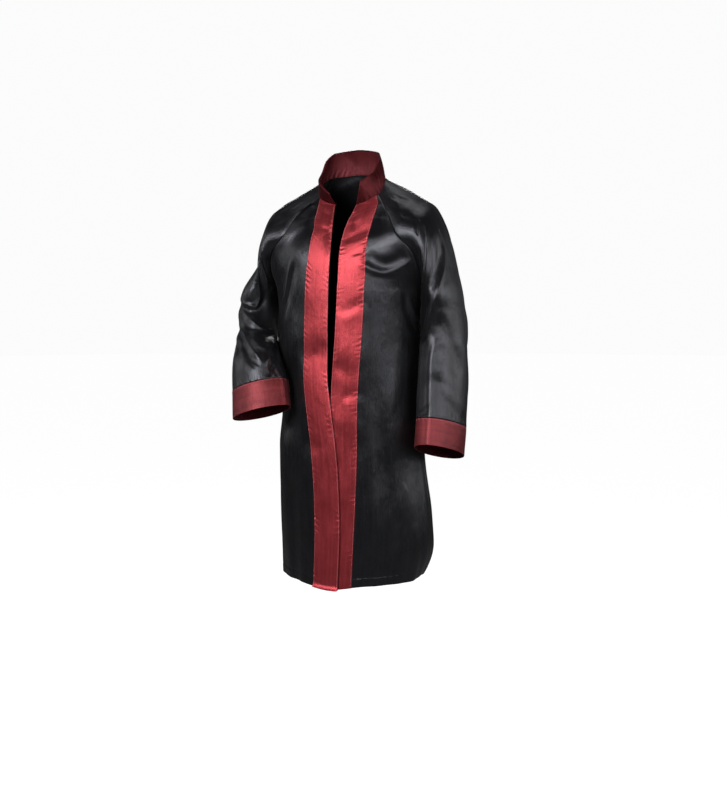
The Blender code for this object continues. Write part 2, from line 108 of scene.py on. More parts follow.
# Sleeve over the shoulder: share of the raglan seam, ridge point (out, back, up), half depth.
SHOULDER = {
    LEFT: [(0.265, 119, 3, -18, 57), (0.454, 151, 4, -36, 69), (0.578, 172, 5, -53, 72),
           (0.70, 191, 4, -88, 74), (0.896, 212, 2, -162, 74)],
    RIGHT: [(0.265, 119, 3, -26, 56), (0.454, 149, 3, -44, 69), (0.578, 166, 2, -64, 72),
            (0.70, 176, 0, -98, 73), (0.896, 187, 0, -154, 72)],
}
# Sleeve below the underarm: centre (out, back, up), half width, half depth, roll, pitch, yaw.
SLEEVE = {
    LEFT: [(190, 0, -208, 34, 74, 5, 0, 0), (190, 6, -254, 39, 75, 2, 4, 0),
           (191, 9, -302, 42, 76, 0, 6, 0), (193, 2, -360, 43, 77, 0, 8, 0),
           (196, -11, -415, 44, 78, 0, 11, 0), (198, -24, -471, 44, 78, 0, 15, 0),
           (198, -37, -524, 44, 79, 0, 16, 0)],
    RIGHT: [(189, 0, -208, 34, 72, 5, 0, 0), (198, 0, -250, 38, 72, -3, 2, 4),
            (194, -28, -302, 39, 71, -8, 8, 12), (172, -82, -352, 49, 72, -10, 14, 24),
            (157, -98, -402, 56, 70, -10, 16, 28), (146, -114, -453, 58, 69, -10, 15, 30)],
}
# Collar: share of the way round, then the way from its seam to its top edge: left, back, up.
COLLAR_RISE = [(0.0, 10, -5, 45), (0.07, -3, -3, 45), (0.22, -13, 0, 44), (0.35, -8, -2, 46),
               (0.5, 0, -7, 46), (0.65, 8, -2, 46), (0.78, 11, -3, 42), (0.93, -4, -18, 32),
               (1.0, -6, -20, 20)]
# Broad folds, as in the solids. Body: ring angle above, ring angle at the hem, half width in
# degrees, height where the fold begins, depth at the hem (minus is a trough).
BODY_FOLDS = [(-62, -70, 13, -480, 4), (-40, -36, 11, -470, -4), (38, 42, 12, -380, -4),
              (64, 66, 12, -560, 5), (103, 106, 12, -560, 5), (128, 132, 13, -260, -7),
              (153, 156, 12, -230, 7), (178, 182, 13, -260, -7), (205, 203, 12, -230, 7),
              (231, 228, 13, -270, -6), (256, 254, 12, -540, 5)]
FOLD_RUN_IN = 220.0
SLEEVE_DENT = (-56.0, 40.0, -420.0, 105.0, 16.0)
HEM_TUCK = (98.0, 60.0, -712.0, 20.0)
# Sleeves: angle round the sleeve and distance below the underarm at both ends (0 front, 90
# outside, 180 back), half width, depth.
SLEEVE_FOLDS = {
    LEFT: [(20, 70, 60, 160, 26, -5), (70, 110, 140, 190, 28, 5), (10, 190, 80, 235, 26, 4),
           (170, 40, 215, 130, 28, -5), (200, 150, 150, 240, 26, 4)],
    RIGHT: [(105, 30, -10, 78, 22, 7), (110, 64, 40, 100, 20, -6), (100, 84, 20, 130, 22, 5),
            (150, 60, 215, 110, 28, -6), (60, 150, 0, 110, 24, -4), (170, 130, 230, 170, 26, 5)],
}

# Finer creases. Body: ring angle and height at both ends, sideways bow, half width, height of
# the crest (minus is a trough).
BODY_CREASES = [
    # Right front: the pulls from the raglan seam and under the arm, and slow hanging folds.
    (-38, -215, -42, -350, 3, 16, -3.0),
    (-22, -92, -58, -122, 6, 18, -2.6), (-58, -205, -76, -330, 5, 13, -2.4),
    (-30, -118, -34, -250, 5, 22, 2.0), (-32, -350, -30, -620, -6, 24, 1.8),
    (-52, -450, -54, -740, 6, 20, 1.8), (-80, -240, -88, -430, 6, 16, 2.2),
    (-77, -250, -79, -350, 0, 12, 1.6),
    (-90, -470, -92, -770, -4, 20, 2.2), (-72, -540, -70, -780, 4, 15, -1.8),
    # Left front: the pull under the arm and slow hanging folds.
    (62, -222, 90, -292, -4, 5.5, 3.0),
    (56, -214, 82, -300, -6, 10, -2.4), (32, -430, 31, -760, 4, 18, 2.2),
    (55, -330, 52, -560, -5, 24, 1.8), (46, -540, 44, -775, 3, 18, -2.2),
    (76, -330, 70, -540, 8, 18, -2.0), (84, -540, 80, -775, 4, 18, 2.2),
    # Slanting hollows under both bands, and slack between them.
    (-3, -318, -28, -340, 0, 24, -2.6), (3, -352, 24, -384, 0, 20, -1.6),
    (2, -470, 22, -452, 0, 26, 1.6), (7, -118, 27, -86, 0, 8, -2.6),
    (8, -68, 24, -42, 0, 7, -2.6), (14, -144, 24, -132, 0, 5, -1.0),
    (7, -256, 27, -230, 0, 11, -1.5), (9, -420, 26, -404, 0, 12, -1.2),
    (-5, -96, -25, -84, 0, 10, -2.8), (-7, -68, -23, -50, 0, 9, -2.8),
    (-8, -330, -26, -352, 0, 14, -1.3), (-6, -520, -24, -500, 0, 14, -1.2),
    # Back: pulls from the shoulder blades to the underarms, and hanging folds below them.
    (98, -226, 134, -322, 8, 10, 3.2), (106, -220, 148, -286, 10, 12, -2.8),
    (112, -350, 118, -540, -6, 20, 2.2), (136, -92, 156, -250, -6, 17, 2.4),
    (148, -120, 168, -320, 6, 16, -2.2), (174, -66, 178, -260, 4, 22, 1.8),
    (-96, -226, -130, -326, -8, 10, 3.2), (-104, -218, -148, -282, -9, 12, -2.8),
    (-140, -92, -158, -270, 6, 16, 2.4), (-164, -110, -172, -340, -5, 17, -2.0),
    (-118, -340, -124, -570, 6, 20, 2.2), (166, -340, 168, -660, 5, 20, 2.0),
    (-150, -400, -152, -740, 6, 18, -2.4), (142, -430, 141, -760, -6, 16, 2.4),
    (-174, -420, -170, -775, 4, 16, 2.0), (120, -560, 122, -780, 3, 15, -2.4),
    (-110, -600, -112, -780, -3, 15, 2.4),
]
# Sleeves: angle and distance below the underarm at both ends, bow, half width, crest.
SLEEVE_CREASES = {
    LEFT: [
        # Folds that hang from the raglan seam and the shoulder point.
        (4, -64, 4, 0, 0, 8, -2.0), (54, -76, 50, -48, 0, 7, -1.8),
        (-50, -80, -66, 60, 4, 9, -2.4),
        (-34, -216, -10, -180, 2, 12, 1.4), (4, -206, 40, -160, 4, 12, -1.6),
        (-38, -164, -4, -138, 3, 9, -1.6),
        # The flat outside and the inner edge beside it.
        (48, 60, 52, 340, 0, 26, -2.4), (-31, 90, -30, 330, 0, 15, 3.2),
        # Soft dents beside the pressed crease, and a small fold over the cuff.
        (18, 66, 8, 112, 0, 11, -1.5), (19, 112, 27, 154, 0, 12, -1.5),
        (18, 156, 15, 190, 0, 11, -0.9), (-22, 92, -12, 140, 0, 12, -1.2),
        (-24, 262, 2, 240, 2, 7, -1.4), (90, 40, 102, 220, 8, 26, 1.0),
        # The hidden outside and back.
        (130, -140, 112, -30, 6, 12, 2.4), (160, -110, 142, 30, 6, 11, -2.6),
        (190, -80, 200, 80, -6, 11, 2.6), (124, 40, 178, 104, 8, 13, 2.6),
        (116, 76, 162, 142, 8, 12, -2.6), (152, 126, 226, 180, 8, 15, 2.4),
        (184, 206, 238, 146, -6, 13, -2.0), (228, 0, 244, 120, 4, 12, 2.2),
        (240, 160, 256, 250, 4, 12, -2.0), (150, 262, 170, 222, 4, 10, -1.6),
        (204, 266, 222, 218, 4, 10, 1.6),
    ],
    RIGHT: [
        # The middle of the hanging V below the elbow, and the dark hollows round it.
        (6, 116, -8, 186, 0, 14, 2.2), (14, -60, 14, 10, 0, 18, -2.2),
        (50, 120, 40, 196, 4, 16, -3.0),
        (-46, 150, -40, 200, -3, 12, -2.6),
        # Folds down from the shoulder and the raglan seam.
        (-60, -60, -62, 30, 3, 8, -2.0),
        (26, -120, -30, -70, -6, 13, -2.2), (-34, -212, -6, -182, 3, 12, 1.5),
        (4, -200, 36, -154, 4, 13, -1.6), (30, -170, 62, -100, 5, 14, 1.6),
        (64, -140, 72, -30, 6, 14, -1.6),
        # The hidden outside and back.
        (84, 24, 124, 66, 8, 14, 1.5), (92, 56, 132, 98, 8, 14, -1.6),
        (92, 134, 152, 172, 8, 15, 2.2), (124, 30, 182, 52, 8, 12, -2.6),
        (152, 82, 222, 98, 8, 14, 2.6), (104, 200, 154, 236, 6, 13, -2.0),
        (184, 142, 242, 190, 8, 14, -2.4), (204, 30, 238, 110, 6, 12, 2.4),
        (130, -150, 114, -46, 6, 12, 2.2), (166, -110, 152, 14, 6, 11, -2.4),
        (198, -70, 212, 46, -6, 11, 2.4), (162, 242, 178, 204, 4, 10, 1.6),
        (216, 250, 232, 214, 4, 10, -1.6),
    ],
}
# Long folds: half width and height of the crest, half width and depth of the hollow beside it,
# then its line: angle and height, or angle and distance below the underarm.
BODY_LINES = [
    # The smile that hangs between the left band and the raglan seam.
    (7.0, 2.0, 13, 2.8,
     [(17, -154), (24, -163), (31, -172), (39, -176), (47, -170), (54, -158), (61, -144)]),
    # The ridge from the right chest to the side, with a dark pocket inside it.
    (4.0, 2.4, 9, 3.2, [(-33, -140), (-40, -185), (-50, -228), (-62, -262), (-72, -300)]),
]
SLEEVE_LINES = {
    LEFT: [
        # The edge of the flat outside, over a deep hollow.
        (5.0, 3.4, 15, 5.0, [(62, -58), (39, -27), (22, -9), (10, 18), (-2, 53), (-12, 82),
                             (-27, 107), (-44, 128)]),
        # Folds that hang from the shoulder.
        (4.0, 2.2, 7, 2.4, [(5, -96), (-13, -72), (-17, -44), (-20, -4)]),
        (4.0, 1.8, 6, 1.4, [(-5, -115), (-20, -106), (-38, -92)]),
        (4.0, 2.2, 7, 2.4, [(-30, -50), (-36, -10), (-40, 34)]),
    ],
    RIGHT: [
        # The U of cloth over the elbow, the thin fold under it, and the two arms of the V.
        (4.0, 2.4, 10, 3.6,
         [(-13, -56), (-18, 0), (-20, 24), (-13, 40), (3, 36), (25, 28), (50, 12)]),
        (3.2, 2.4, 10, 3.4, [(-76, 102), (-40, 99), (-14, 88), (8, 56), (30, 43), (50, 36)]),
        (4.0, 2.2, 12, 3.8, [(-9, 210), (3, 162), (14, 112), (40, 72)]),
        (4.0, 1.8, 10, 3.0, [(-60, 138), (-32, 180), (-9, 210)]),
        (3.2, 1.6, 6, 1.4, [(-20, 236), (-27, 217), (-54, 195)]),
        # The crease into the armpit.
        (3.6, 1.8, 7, 2.0, [(-36, -74), (-49, -46), (-41, 4)]),
    ],
}
# Pressed creases down the fronts of the sleeves: distance below the underarm, angle.
PRESSED = {
    LEFT: [(96, 10), (142, 1), (213, 0), (282, 1), (340, 3)],
    RIGHT: [(186, -26), (214, -34), (236, -41), (262, -44), (300, -46)],
}
PRESSED_HALF, PRESSED_DEPTH = 8.5, 2.3
PRESSED_RUN_IN = 30
# Millimetres across the cloth for one degree round the body and round a sleeve.
BODY_DEGREE, SLEEVE_DEGREE = 2.6, SLEEVE_GIRTH / 360.0
CREASE_SKIRT = 0.2
LINE_POINTS = 48
SLEEVE_FOLD_SHARE = 0.4
# How far from a seam and from the neckline the creases have their full height, and the share
# of it that they keep on the seams.
SEAM_REACH, NECK_REACH, SLEEVE_TOP_REACH = 22, 26, 30
BODY_SEAM_SHARE, SLEEVE_SEAM_SHARE = 0.25, 0.2
# Ripples of the cloth: seed, height, shortest and longest wave.
RIPPLES = {"body": (11, 0.55, 40.0, 130.0), "sleeve": (23, 0.34, 36.0, 110.0),
           "collar": (91, 0.6, 22.0, 70.0)}
# Puckers along a seam: seeds on the left and on the right, height, wave, reach from the seam.
PUCKERS = {
    "hem": (5, 5, 0.28, 11.0, 9.0),
    "band_outer_edge": (31, 41, 0.55, 8.0, 9.0), "band_inner_edge": (32, 42, 0.3, 8.0, 9.0),
    "sleeve_end": (61, 62, 0.6, 10.0, 12.0),
    "cuff_seam": (71, 72, 0.5, 9.0, 9.0), "cuff_end": (75, 75, 0.2, 9.0, 9.0),
    "collar_seam": (81, 81, 0.5, 10.0, 10.0), "collar_top": (85, 85, 0.25, 9.0, 9.0),
}

# Cloth and sewing.
SATIN_THICK = 0.8
COLLAR_THICK = 2.0
SEAM_ROLL, SEAM_DROP = 2.6, 1.1
ALLOWANCE_STEPS = (1.4, 3.2)
HEM_TURN = 18.0
HEM_GROOVE = 0.25
STITCH_PITCH, STITCH_LENGTH, STITCH_RADIUS = 3.0, 2.3, 0.24
# Along a stitch: place, width and lift, as shares of its length and its radius.
STITCH_SPINE = np.array([-0.5, -0.36, 0.0, 0.36, 0.5])
STITCH_WIDTHS = np.array([0.25, 0.85, 1.0, 0.85, 0.25])
STITCH_LIFTS = np.array([-0.9, 0.35, 0.75, 0.35, -0.9])
STITCH_SIDES = 6
STITCH_INSET = 2.2
# The groove that a row of stitches pulls in: depth, half width.
STITCH_GROOVE, STITCH_GROOVE_HALF = 0.3, 0.9
BAND_END_LIFT, BAND_END_REACH = 4.5, 11.0
BAND_THICK, BAND_LIFT, BAND_LEAST_LIFT, BAND_BELLY = 0.45, 0.5, 0.45, 0.5
CUFF_THICK, CUFF_LIFT, CUFF_FINE_ROWS = 1.2, 0.35, 30
# Widths that the columns of panels, bands and the collar are spaced for.
PANEL_WIDTH, BAND_EVEN_WIDTH, COLLAR_HEIGHT = 250.0, 54.0, 46.0
COLLAR_FINE_COLUMNS, COLLAR_FINE_ROWS = 230, 22
COLLAR_BELLY, COLLAR_LAP = 1.6, 4.0
# The collar's pressed line: share of the way round, height, half width.
COLLAR_PRESS, COLLAR_PRESS_HEIGHT, COLLAR_PRESS_HALF = 0.165, 1.2, 1.8
BODY_FINE, SLEEVE_FINE, BAND_FINE = 7, 7, 14
FRONT_FINE_COLUMNS, BACK_FINE_COLUMNS, SLEEVE_FINE_COLUMNS, BAND_FINE_COLUMNS = 84, 150, 168, 26
EDGE_STEPS = (0.5, 1.1, 1.9, 3.0)

# The camera at the photo's viewing angle.
VIEW_AZIMUTH, VIEW_PITCH, VIEW_TURN = 22.0, 5.0, 0.41
VIEW_DISTANCE, VIEW_HEIGHT = 3.2, -0.152
LENS, SENSOR = 72.0, 36.0
# Soft boxes: name, angle round the gown from its front towards its left, distance, height, height
# aimed at, width and height of the box, watts.
LIGHTS = [
    ("key", -10, 2.3, 0.48, -0.2, (1.1, 0.7), 48),
    ("left_front", 46, 2.4, 0.15, -0.2, (0.9, 0.8), 12),
    ("left_middle", 84, 2.4, 0.20, -0.2, (0.9, 0.8), 14),
    ("left_side", 116, 2.4, 0.0, -0.3, (1.2, 1.2), 9),
    ("right_side", -84, 2.3, 0.25, -0.25, (0.6, 1.2), 6),
    ("back_key", 202, 2.4, 0.42, -0.2, (1.0, 0.9), 20),
    ("top", 176, 0.5, 1.90, -0.1, (1.4, 1.0), 9),
]
AMBIENT, BACKDROP = 0.05, 0.97
FLOOR_Z, FLOOR_RADIUS, FLOOR_GLOW = -1.15, 14.0, 1.0


def through(keys, values, at):
    """Smooth curve through a table's rows: cubic pieces whose slopes come from their neighbours."""
    order = np.argsort(keys)
    keys = np.asarray(keys, float)[order]
    values = np.asarray(values, float)[order]
    at = np.clip(np.asarray(at, float), keys[0], keys[-1])
    slopes = np.gradient(values, keys, axis=0)
    piece = np.clip(np.searchsorted(keys, at, side="right") - 1, 0, len(keys) - 2)
    step = keys[piece + 1] - keys[piece]
    t = (at - keys[piece]) / step
    extra = (1,) * (values.ndim - 1)
    t = t.reshape(t.shape + extra)
    step = step.reshape(step.shape + extra)
    start, end = values[piece], values[piece + 1]
    leave, arrive = slopes[piece] * step, slopes[piece + 1] * step
    return (start * (1 + 2 * t) * (1 - t) ** 2 + leave * t * (1 - t) ** 2
            + end * t * t * (3 - 2 * t) + arrive * t * t * (t - 1))


def look_up(table, at, index=1):
    return through([row[0] for row in table], [row[index] for row in table], at)


def smooth_step(low, high, value):
    """0 below low, 1 above high, and an even S between them."""
    t = np.clip((value - low) / (high - low), 0.0, 1.0)
    return t * t * (3 - 2 * t)


def bump(distance):
    """A round hill: 1 at 0, 0 from 1 on."""
    hill = np.cos(np.clip(distance, -1, 1) * math.pi / 2) ** 2
    return np.where(np.abs(distance) < 1.0, hill, 0.0)


def bell(distance):
    """A bell that never quite ends: 1 at 0, and 1/e at 1."""
    return np.exp(-distance ** 2)


def unit(vectors):
    return vectors / np.maximum(np.linalg.norm(vectors, axis=-1, keepdims=True), 1e-9)


def run_along(points, axis):
    """Distance along each row (axis 1) or column (axis 0) of a grid, from its first point."""
    steps = np.linalg.norm(np.diff(points, axis=axis), axis=-1)
    run = np.cumsum(steps, axis=axis)
    return np.concatenate([np.zeros_like(np.take(run, [0], axis=axis)), run], axis=axis)


def at_lengths(points, lengths):
    """The points of a curve at the given distances from its start."""
    steps = np.linalg.norm(np.diff(points, axis=0), axis=1)
    run = np.concatenate([[0.0], np.cumsum(steps)])
    return np.stack([np.interp(lengths, run, points[:, axis]) for axis in range(3)], axis=1)


def spaced(points, count):
    length = np.linalg.norm(np.diff(points, axis=0), axis=1).sum()
    return at_lengths(points, np.linspace(0.0, length, count))


def to_sides(grid):
    """Distance along each row from its first point, and from the nearer one of its ends."""
    run = run_along(grid, 1)
    return run, np.minimum(run, run[:, -1:] - run)


def graded(whole, count):
    """Distances from 0 to whole: evenly spaced, with closer ones beside both ends."""
    near = np.array(EDGE_STEPS)
    inner = np.linspace(0, whole, count + 1)
    inner = inner[(inner > near[-1] * 1.3) & (inner < whole - near[-1] * 1.3)]
    return np.concatenate([[0.0], near, inner, whole - near[::-1], [whole]])


def even_share(whole, columns):
    """Places from 0 to 1 across a piece about so wide, with closer ones beside its edges."""
    return graded(whole, columns) / whole


def ripple(points, seed, height, shortest, longest):
    """Faint unevenness of cloth: a sum of 14 slow waves in directions drawn once from a seed.

    Each wave is a sine whose phase wavers a little, and longer waves are higher.
    """
    draw = np.random.default_rng(seed)
    total = np.zeros(points.shape[:-1])
    for _ in range(14):
        length = shortest * (longest / shortest) ** draw.random()
        way = unit(draw.normal(size=3) * np.array([1.0, 1.0, 0.55]))
        phase = points @ way * (2 * math.pi / length) + draw.random() * 2 * math.pi
        total += np.sin(phase + 0.9 * np.sin(phase * 0.37 + 1.3)) * (length / longest) ** 0.8
    return total * height / 3.0


def all_round(across, down, table, across_scale):
    """Creases of a table round a closed ring: those past its ends come in on the other side."""
    total = np.zeros(np.broadcast(across, down).shape)
    for turn in (-360.0, 0.0, 360.0):
        total += creases(across + turn, down, table, across_scale)
    return total


def creases(across, down, table, across_scale):
    """Sum of soft creases along slightly bowed lines, in the cloth's own coordinates.

    Across each line a crest falls off as a bell, a little steeper on one side, with a shallower
    bell of the other sign beside it. Along the line it swells from both ends.
    """
    total = np.zeros(np.broadcast(across, down).shape)
    for across_a, down_a, across_b, down_b, bow, half, crest in table:
        line = np.array([(across_b - across_a) * across_scale, down_b - down_a])
        length = math.hypot(*line)
        direction = line / length
        dx = (across - across_a) * across_scale
        dy = down - down_a
        share = (dx * direction[0] + dy * direction[1]) / length
        side = dy * direction[0] - dx * direction[1] - bow * 4 * share * (1 - share)
        width = half * (0.75 + 0.5 * np.clip(share, 0, 1))
        lean = np.where(side > 0, 1.25, 0.8)
        hill = bell(side / (width * lean))
        skirt = bell((side + 1.7 * width) / width)
        run = smooth_step(-0.12, 0.3, share) * (1 - smooth_step(0.62, 1.12, share))
        total += crest * run * (hill - CREASE_SKIRT * skirt)
    return total


def long_folds(across, down, table, across_scale):
    """Sum of folds along smooth curved lines: a narrow crest, and a broad hollow on one side.

    Both are bells of the distance from the line's nearest point, and the hollow's middle lies
    1.25 times its half width away. The fold tapers at both ends of its line.
    """
    total = np.zeros(np.broadcast(across, down).shape)
    place = np.stack(np.broadcast_arrays(across * across_scale, down), axis=-1)
    for half, crest, width, hollow, marks in table:
        marks = np.array(marks, float) * np.array([across_scale, 1.0])
        run = run_along(marks, 0)
        line = through(run, marks, np.linspace(0, run[-1], LINE_POINTS))
        way = unit(np.gradient(line, axis=0))
        gap = place[..., None, :] - line
        nearest = np.argmin(np.linalg.norm(gap, axis=-1), axis=-1)
        gap = np.take_along_axis(gap, nearest[..., None, None], axis=-2)[..., 0, :]
        way = way[nearest]
        side = way[..., 0] * gap[..., 1] - way[..., 1] * gap[..., 0]
        past = np.sum(way * gap, axis=-1)
        share = nearest / (LINE_POINTS - 1)
        taper = smooth_step(0, 0.18, share) * (1 - smooth_step(0.8, 1.0, share))
        taper = taper * bell(past / width)
        dip = hollow * bell((side - 1.25 * width) / width)
        total += taper * (crest * bell(side / half) - dip)
    return total


def mirrored(points, side):
    """Points drawn as a left side, moved over to their own side."""
    return points * np.array([SIDE_SIGN[side], 1.0, 1.0])


def neck_point(angle):
    """Points of the collar seam by angle from the front: an ellipse whose height is tabled."""
    angle = np.asarray(angle, float)
    turn = np.radians(angle)
    depth = np.where(angle < 90, NECK_FRONT_DEPTH, NECK_BACK_DEPTH)
    return np.stack([NECK_HALF_WIDTH * np.sin(turn), -depth * np.cos(turn),
                     look_up(NECK_RING, angle)], axis=-1)


def raglan_seam(side, front):
    """Points of a raglan seam, one for each yoke row, evenly spaced from neckline to underarm."""
    angle = RAGLAN_FRONT_ANGLE[side] if front else RAGLAN_BACK_ANGLE
    middle = FRONT_RAGLAN[side] if front else BACK_RAGLAN
    marks = np.array([tuple(neck_point(angle))] + list(middle) + [UNDERARM], float)
    run = run_along(marks, 0)
    return spaced(through(run, marks, np.linspace(0, run[-1], DENSE)), RAGLAN_ROWS + 1)


def away_from(angle, middle):
    return (angle - middle + 180.0) % 360.0 - 180.0


def body_push(angle, height):
    """How far the folds, the press of the sleeve and the tucked hem move the body outwards."""
    push = np.zeros(np.broadcast(angle, height).shape)
    for top, hem, half, begin, depth in BODY_FOLDS:
        middle = top + (hem - top) * np.clip((height - begin) / (HEM_Z - begin), 0, 1)
        push += depth * bump(away_from(angle, middle) / half) * smooth_step(0, FOLD_RUN_IN,
                                                                            begin - height)
    middle, half, level, half_height, depth = SLEEVE_DENT
    push -= depth * bump(away_from(angle, middle) / half) * bump((height - level) / half_height)
    middle, half, level, depth = HEM_TUCK
    low = np.clip((level - height) / (level - HEM_Z), 0, None) ** 2
    return push - depth * bump(away_from(angle, middle) / half) * low


def body_rows(side, front, rows):
    """Dense points of the body at these rows, from the middle line out to the seam.

    Each row is part of an ellipse whose depth is tabled. In the yoke its half width is the one
    that brings it through the raglan seam's point; below, it is the body's own half width.
    """
    sign = SIDE_SIGN[side]
    facing = -1.0 if front else 1.0
    depth_table = FRONT_DEPTH if front else BACK_DEPTH
    rows = np.asarray(rows, float)[:, None]
    share = np.linspace(0.0, 1.0, DENSE)[None, :]
    seam = through(np.arange(RAGLAN_ROWS + 1), raglan_seam(side, front),
                   np.clip(rows[:, 0], 0, RAGLAN_ROWS))
    seam_x, seam_y, seam_z = (seam[:, axis][:, None] for axis in range(3))
    in_yoke = rows <= RAGLAN_ROWS
    top_z = NECK_FRONT_Z if front else NECK_BACK_Z
    fall = np.clip((rows - RAGLAN_ROWS) / BODY_ROWS, 0, 1)
    middle_z = np.where(in_yoke, top_z + (UNDERARM[2] - top_z) * rows / RAGLAN_ROWS,
                        UNDERARM[2] + (HEM_Z - UNDERARM[2]) * fall)
    ratio = np.abs(seam_y) / look_up(depth_table, seam_z)
    width_below = look_up(BODY_WIDTH, middle_z, 1 if side == LEFT else 2)
    half_width = np.where(in_yoke, seam_x / np.sqrt(1.0 - ratio * ratio), width_below)
    start = look_up(FRONT_EDGE[side], middle_z) if front else np.zeros_like(rows)
    first = np.arcsin(start / half_width)
    last = np.where(in_yoke, np.arccos(ratio), math.pi / 2)
    turn = first + (last - first) * share
    gone = (np.sin(turn) - np.sin(first)) / (np.sin(last) - np.sin(first))
    height = middle_z + np.where(in_yoke, (seam_z - middle_z) * gone ** YOKE_DROP_POWER, 0.0)
    if front:
        beside = (np.sin(turn) - np.sin(first)) * half_width
        dip = HEM_FRONT_DIP * np.cos(turn) ** 2 + BAND_END_DIP * bump(beside / DIP_WIDTH)
        height = height - dip * fall
    depth = look_up(depth_table, height)
    ring = sign * (np.degrees(turn) if front else 180.0 - np.degrees(turn))
    push = body_push(ring, height)
    out_x, out_y = np.sin(turn), facing * np.cos(turn)
    points = np.stack([(half_width + push) * out_x, (depth + push) * out_y, height], axis=-1)
    if front:
        run = run_along(points, 1)
        lap = smooth_step(-LAP_TOP_Z, -LAP_FULL_Z, -height)
        points[..., 1] -= LAP_STEP[side] * lap * (1 - smooth_step(LAP_FLAT, LAP_FADE, run))
    return points


def body_lengths(side, points):
    """Length of one row of a front from its open edge to its seam, and of the band on it."""
    whole = np.linalg.norm(np.diff(points, axis=0), axis=1).sum()
    band = min(float(look_up(BAND_WIDTH[side], points[0, 2])), whole * BAND_SHARE)
    return whole, band


def normals_of(grid, closed_from=None, sign=1.0):
    """Unit normals from the cross product of the ways down and across a grid."""
    down = np.gradient(grid, axis=0)
    across = np.gradient(grid, axis=1)
    if closed_from is not None:
        loop = (grid[closed_from:, 1] - grid[closed_from:, -2]) / 2
        across[closed_from:, 0] = loop
        across[closed_from:, -1] = loop
        joined = (down[closed_from:, 0] + down[closed_from:, -1]) / 2
        down[closed_from:, 0] = joined
        down[closed_from:, -1] = joined
    return unit(np.cross(down, across)) * sign


def ring_and_height(grid, side, front):
    """Ring angle and height of points on the body, for the crease tables."""
    half = look_up(BODY_WIDTH, grid[..., 2], 1 if side == LEFT else 2)
    depth = look_up(FRONT_DEPTH if front else BACK_DEPTH, grid[..., 2])
    angle = np.degrees(np.arctan2(grid[..., 0] / half, -grid[..., 1] / depth))
    return SIDE_SIGN[side] * angle, grid[..., 2]


def body_creased(grid, side, front):
    """The body's grid with its finer creases, before the mirror.

    The creases move it along its normals. They fade at the neckline and towards the seams, most
    of all beside the raglan seams above the underarm, so the seams keep their lines.
    """
    normals = normals_of(grid) * (1.0 if front else -1.0)
    angle, height = ring_and_height(grid, side, front)
    push = all_round(angle, height, BODY_CREASES, BODY_DEGREE)
    if front:
        push += long_folds(angle, height, BODY_LINES, BODY_DEGREE)
    push += ripple(mirrored(grid, side), *RIPPLES["body"])
    seam_run = run_along(grid, 1)
    to_seam = seam_run[:, -1:] - seam_run
    keep = smooth_step(0, SEAM_REACH, to_seam) * (1 - BODY_SEAM_SHARE) + BODY_SEAM_SHARE
    beside_raglan = smooth_step(-200, -160, height) * (1 - smooth_step(0, 30, to_seam))
    keep = keep * smooth_step(0, NECK_REACH, run_along(grid, 0)) * (1 - 0.8 * beside_raglan)
    return grid + (push * keep)[..., None] * normals


def front_fine(side, rows, lengths_of):
    """A front's creased surface at any rows, with columns where lengths_of puts them."""
    out = []
    for points in body_creased(body_rows(side, True, rows), side, True):
        out.append(at_lengths(points, lengths_of(*body_lengths(side, points))))
    grid = np.array(out)
    grid[..., 0] *= SIDE_SIGN[side]
    return grid


def back_fine(rows, columns):
    """The back's creased surface, from the left seam across the middle to the right seam."""
    halves = []
    share = even_share(PANEL_WIDTH, columns // 2)
    for side in (LEFT, RIGHT):
        dense = body_creased(body_rows(side, False, rows), side, False)
        half = np.array([at_lengths(points, share * run)
                         for points, run in zip(dense, run_along(dense, 1)[:, -1])])
        half[..., 0] *= SIDE_SIGN[side]
        halves.append(half)
    return np.concatenate([halves[0][:, ::-1], halves[1][:, 1:]], axis=1)


def shoulder_section(front_end, back_end, ridge, half_depth):
    """Part of an ellipse from the front raglan seam over the ridge to the back one."""
    middle = (front_end + back_end) / 2
    half_chord = np.linalg.norm(front_end - back_end) / 2
    forward = unit(front_end - back_end + np.array([0, -1e-6, 0]))
    start = -math.acos(min(half_chord / half_depth, 1.0))
    reach = np.linalg.norm(ridge - middle) / (1 - math.sin(start))
    outward = unit(ridge - middle)
    centre = ridge - reach * outward
    turn = np.linspace(start, math.pi - start, DENSE)[:, None]
    points = centre + reach * np.sin(turn) * outward + half_depth * np.cos(turn) * forward
    share = np.linspace(0, 1, DENSE)[:, None]
    return (points + (front_end - points[0]) * (1 - share) ** 2
            + (back_end - points[-1]) * share ** 2)


def tube_section(centre, half_width, half_depth, roll, pitch, yaw):
    """A tilted ellipse round a sleeve, from the inside over the front and outside and back."""
    roll, pitch, yaw = (math.radians(angle) for angle in (roll, pitch, yaw))
    outward = np.array([math.cos(roll) * math.cos(yaw), -math.cos(roll) * math.sin(yaw),
                        math.sin(roll)])
    forward = np.array([-math.sin(yaw) * math.cos(pitch), -math.cos(yaw) * math.cos(pitch),
                        math.sin(pitch)])
    turn = np.linspace(-math.pi / 2, 1.5 * math.pi, DENSE)[:, None]
    return (np.array(centre) + half_width * np.sin(turn) * outward
            + half_depth * np.cos(turn) * forward)


def sleeve_lengths(side):
    """Lengths of the raglan seam and of the sleeve below the underarm."""
    raglan = run_along(raglan_seam(side, True), 0)[-1]
    arm = run_along(np.array([row[:3] for row in SLEEVE[side]], float), 0)[-1]
    return raglan, arm


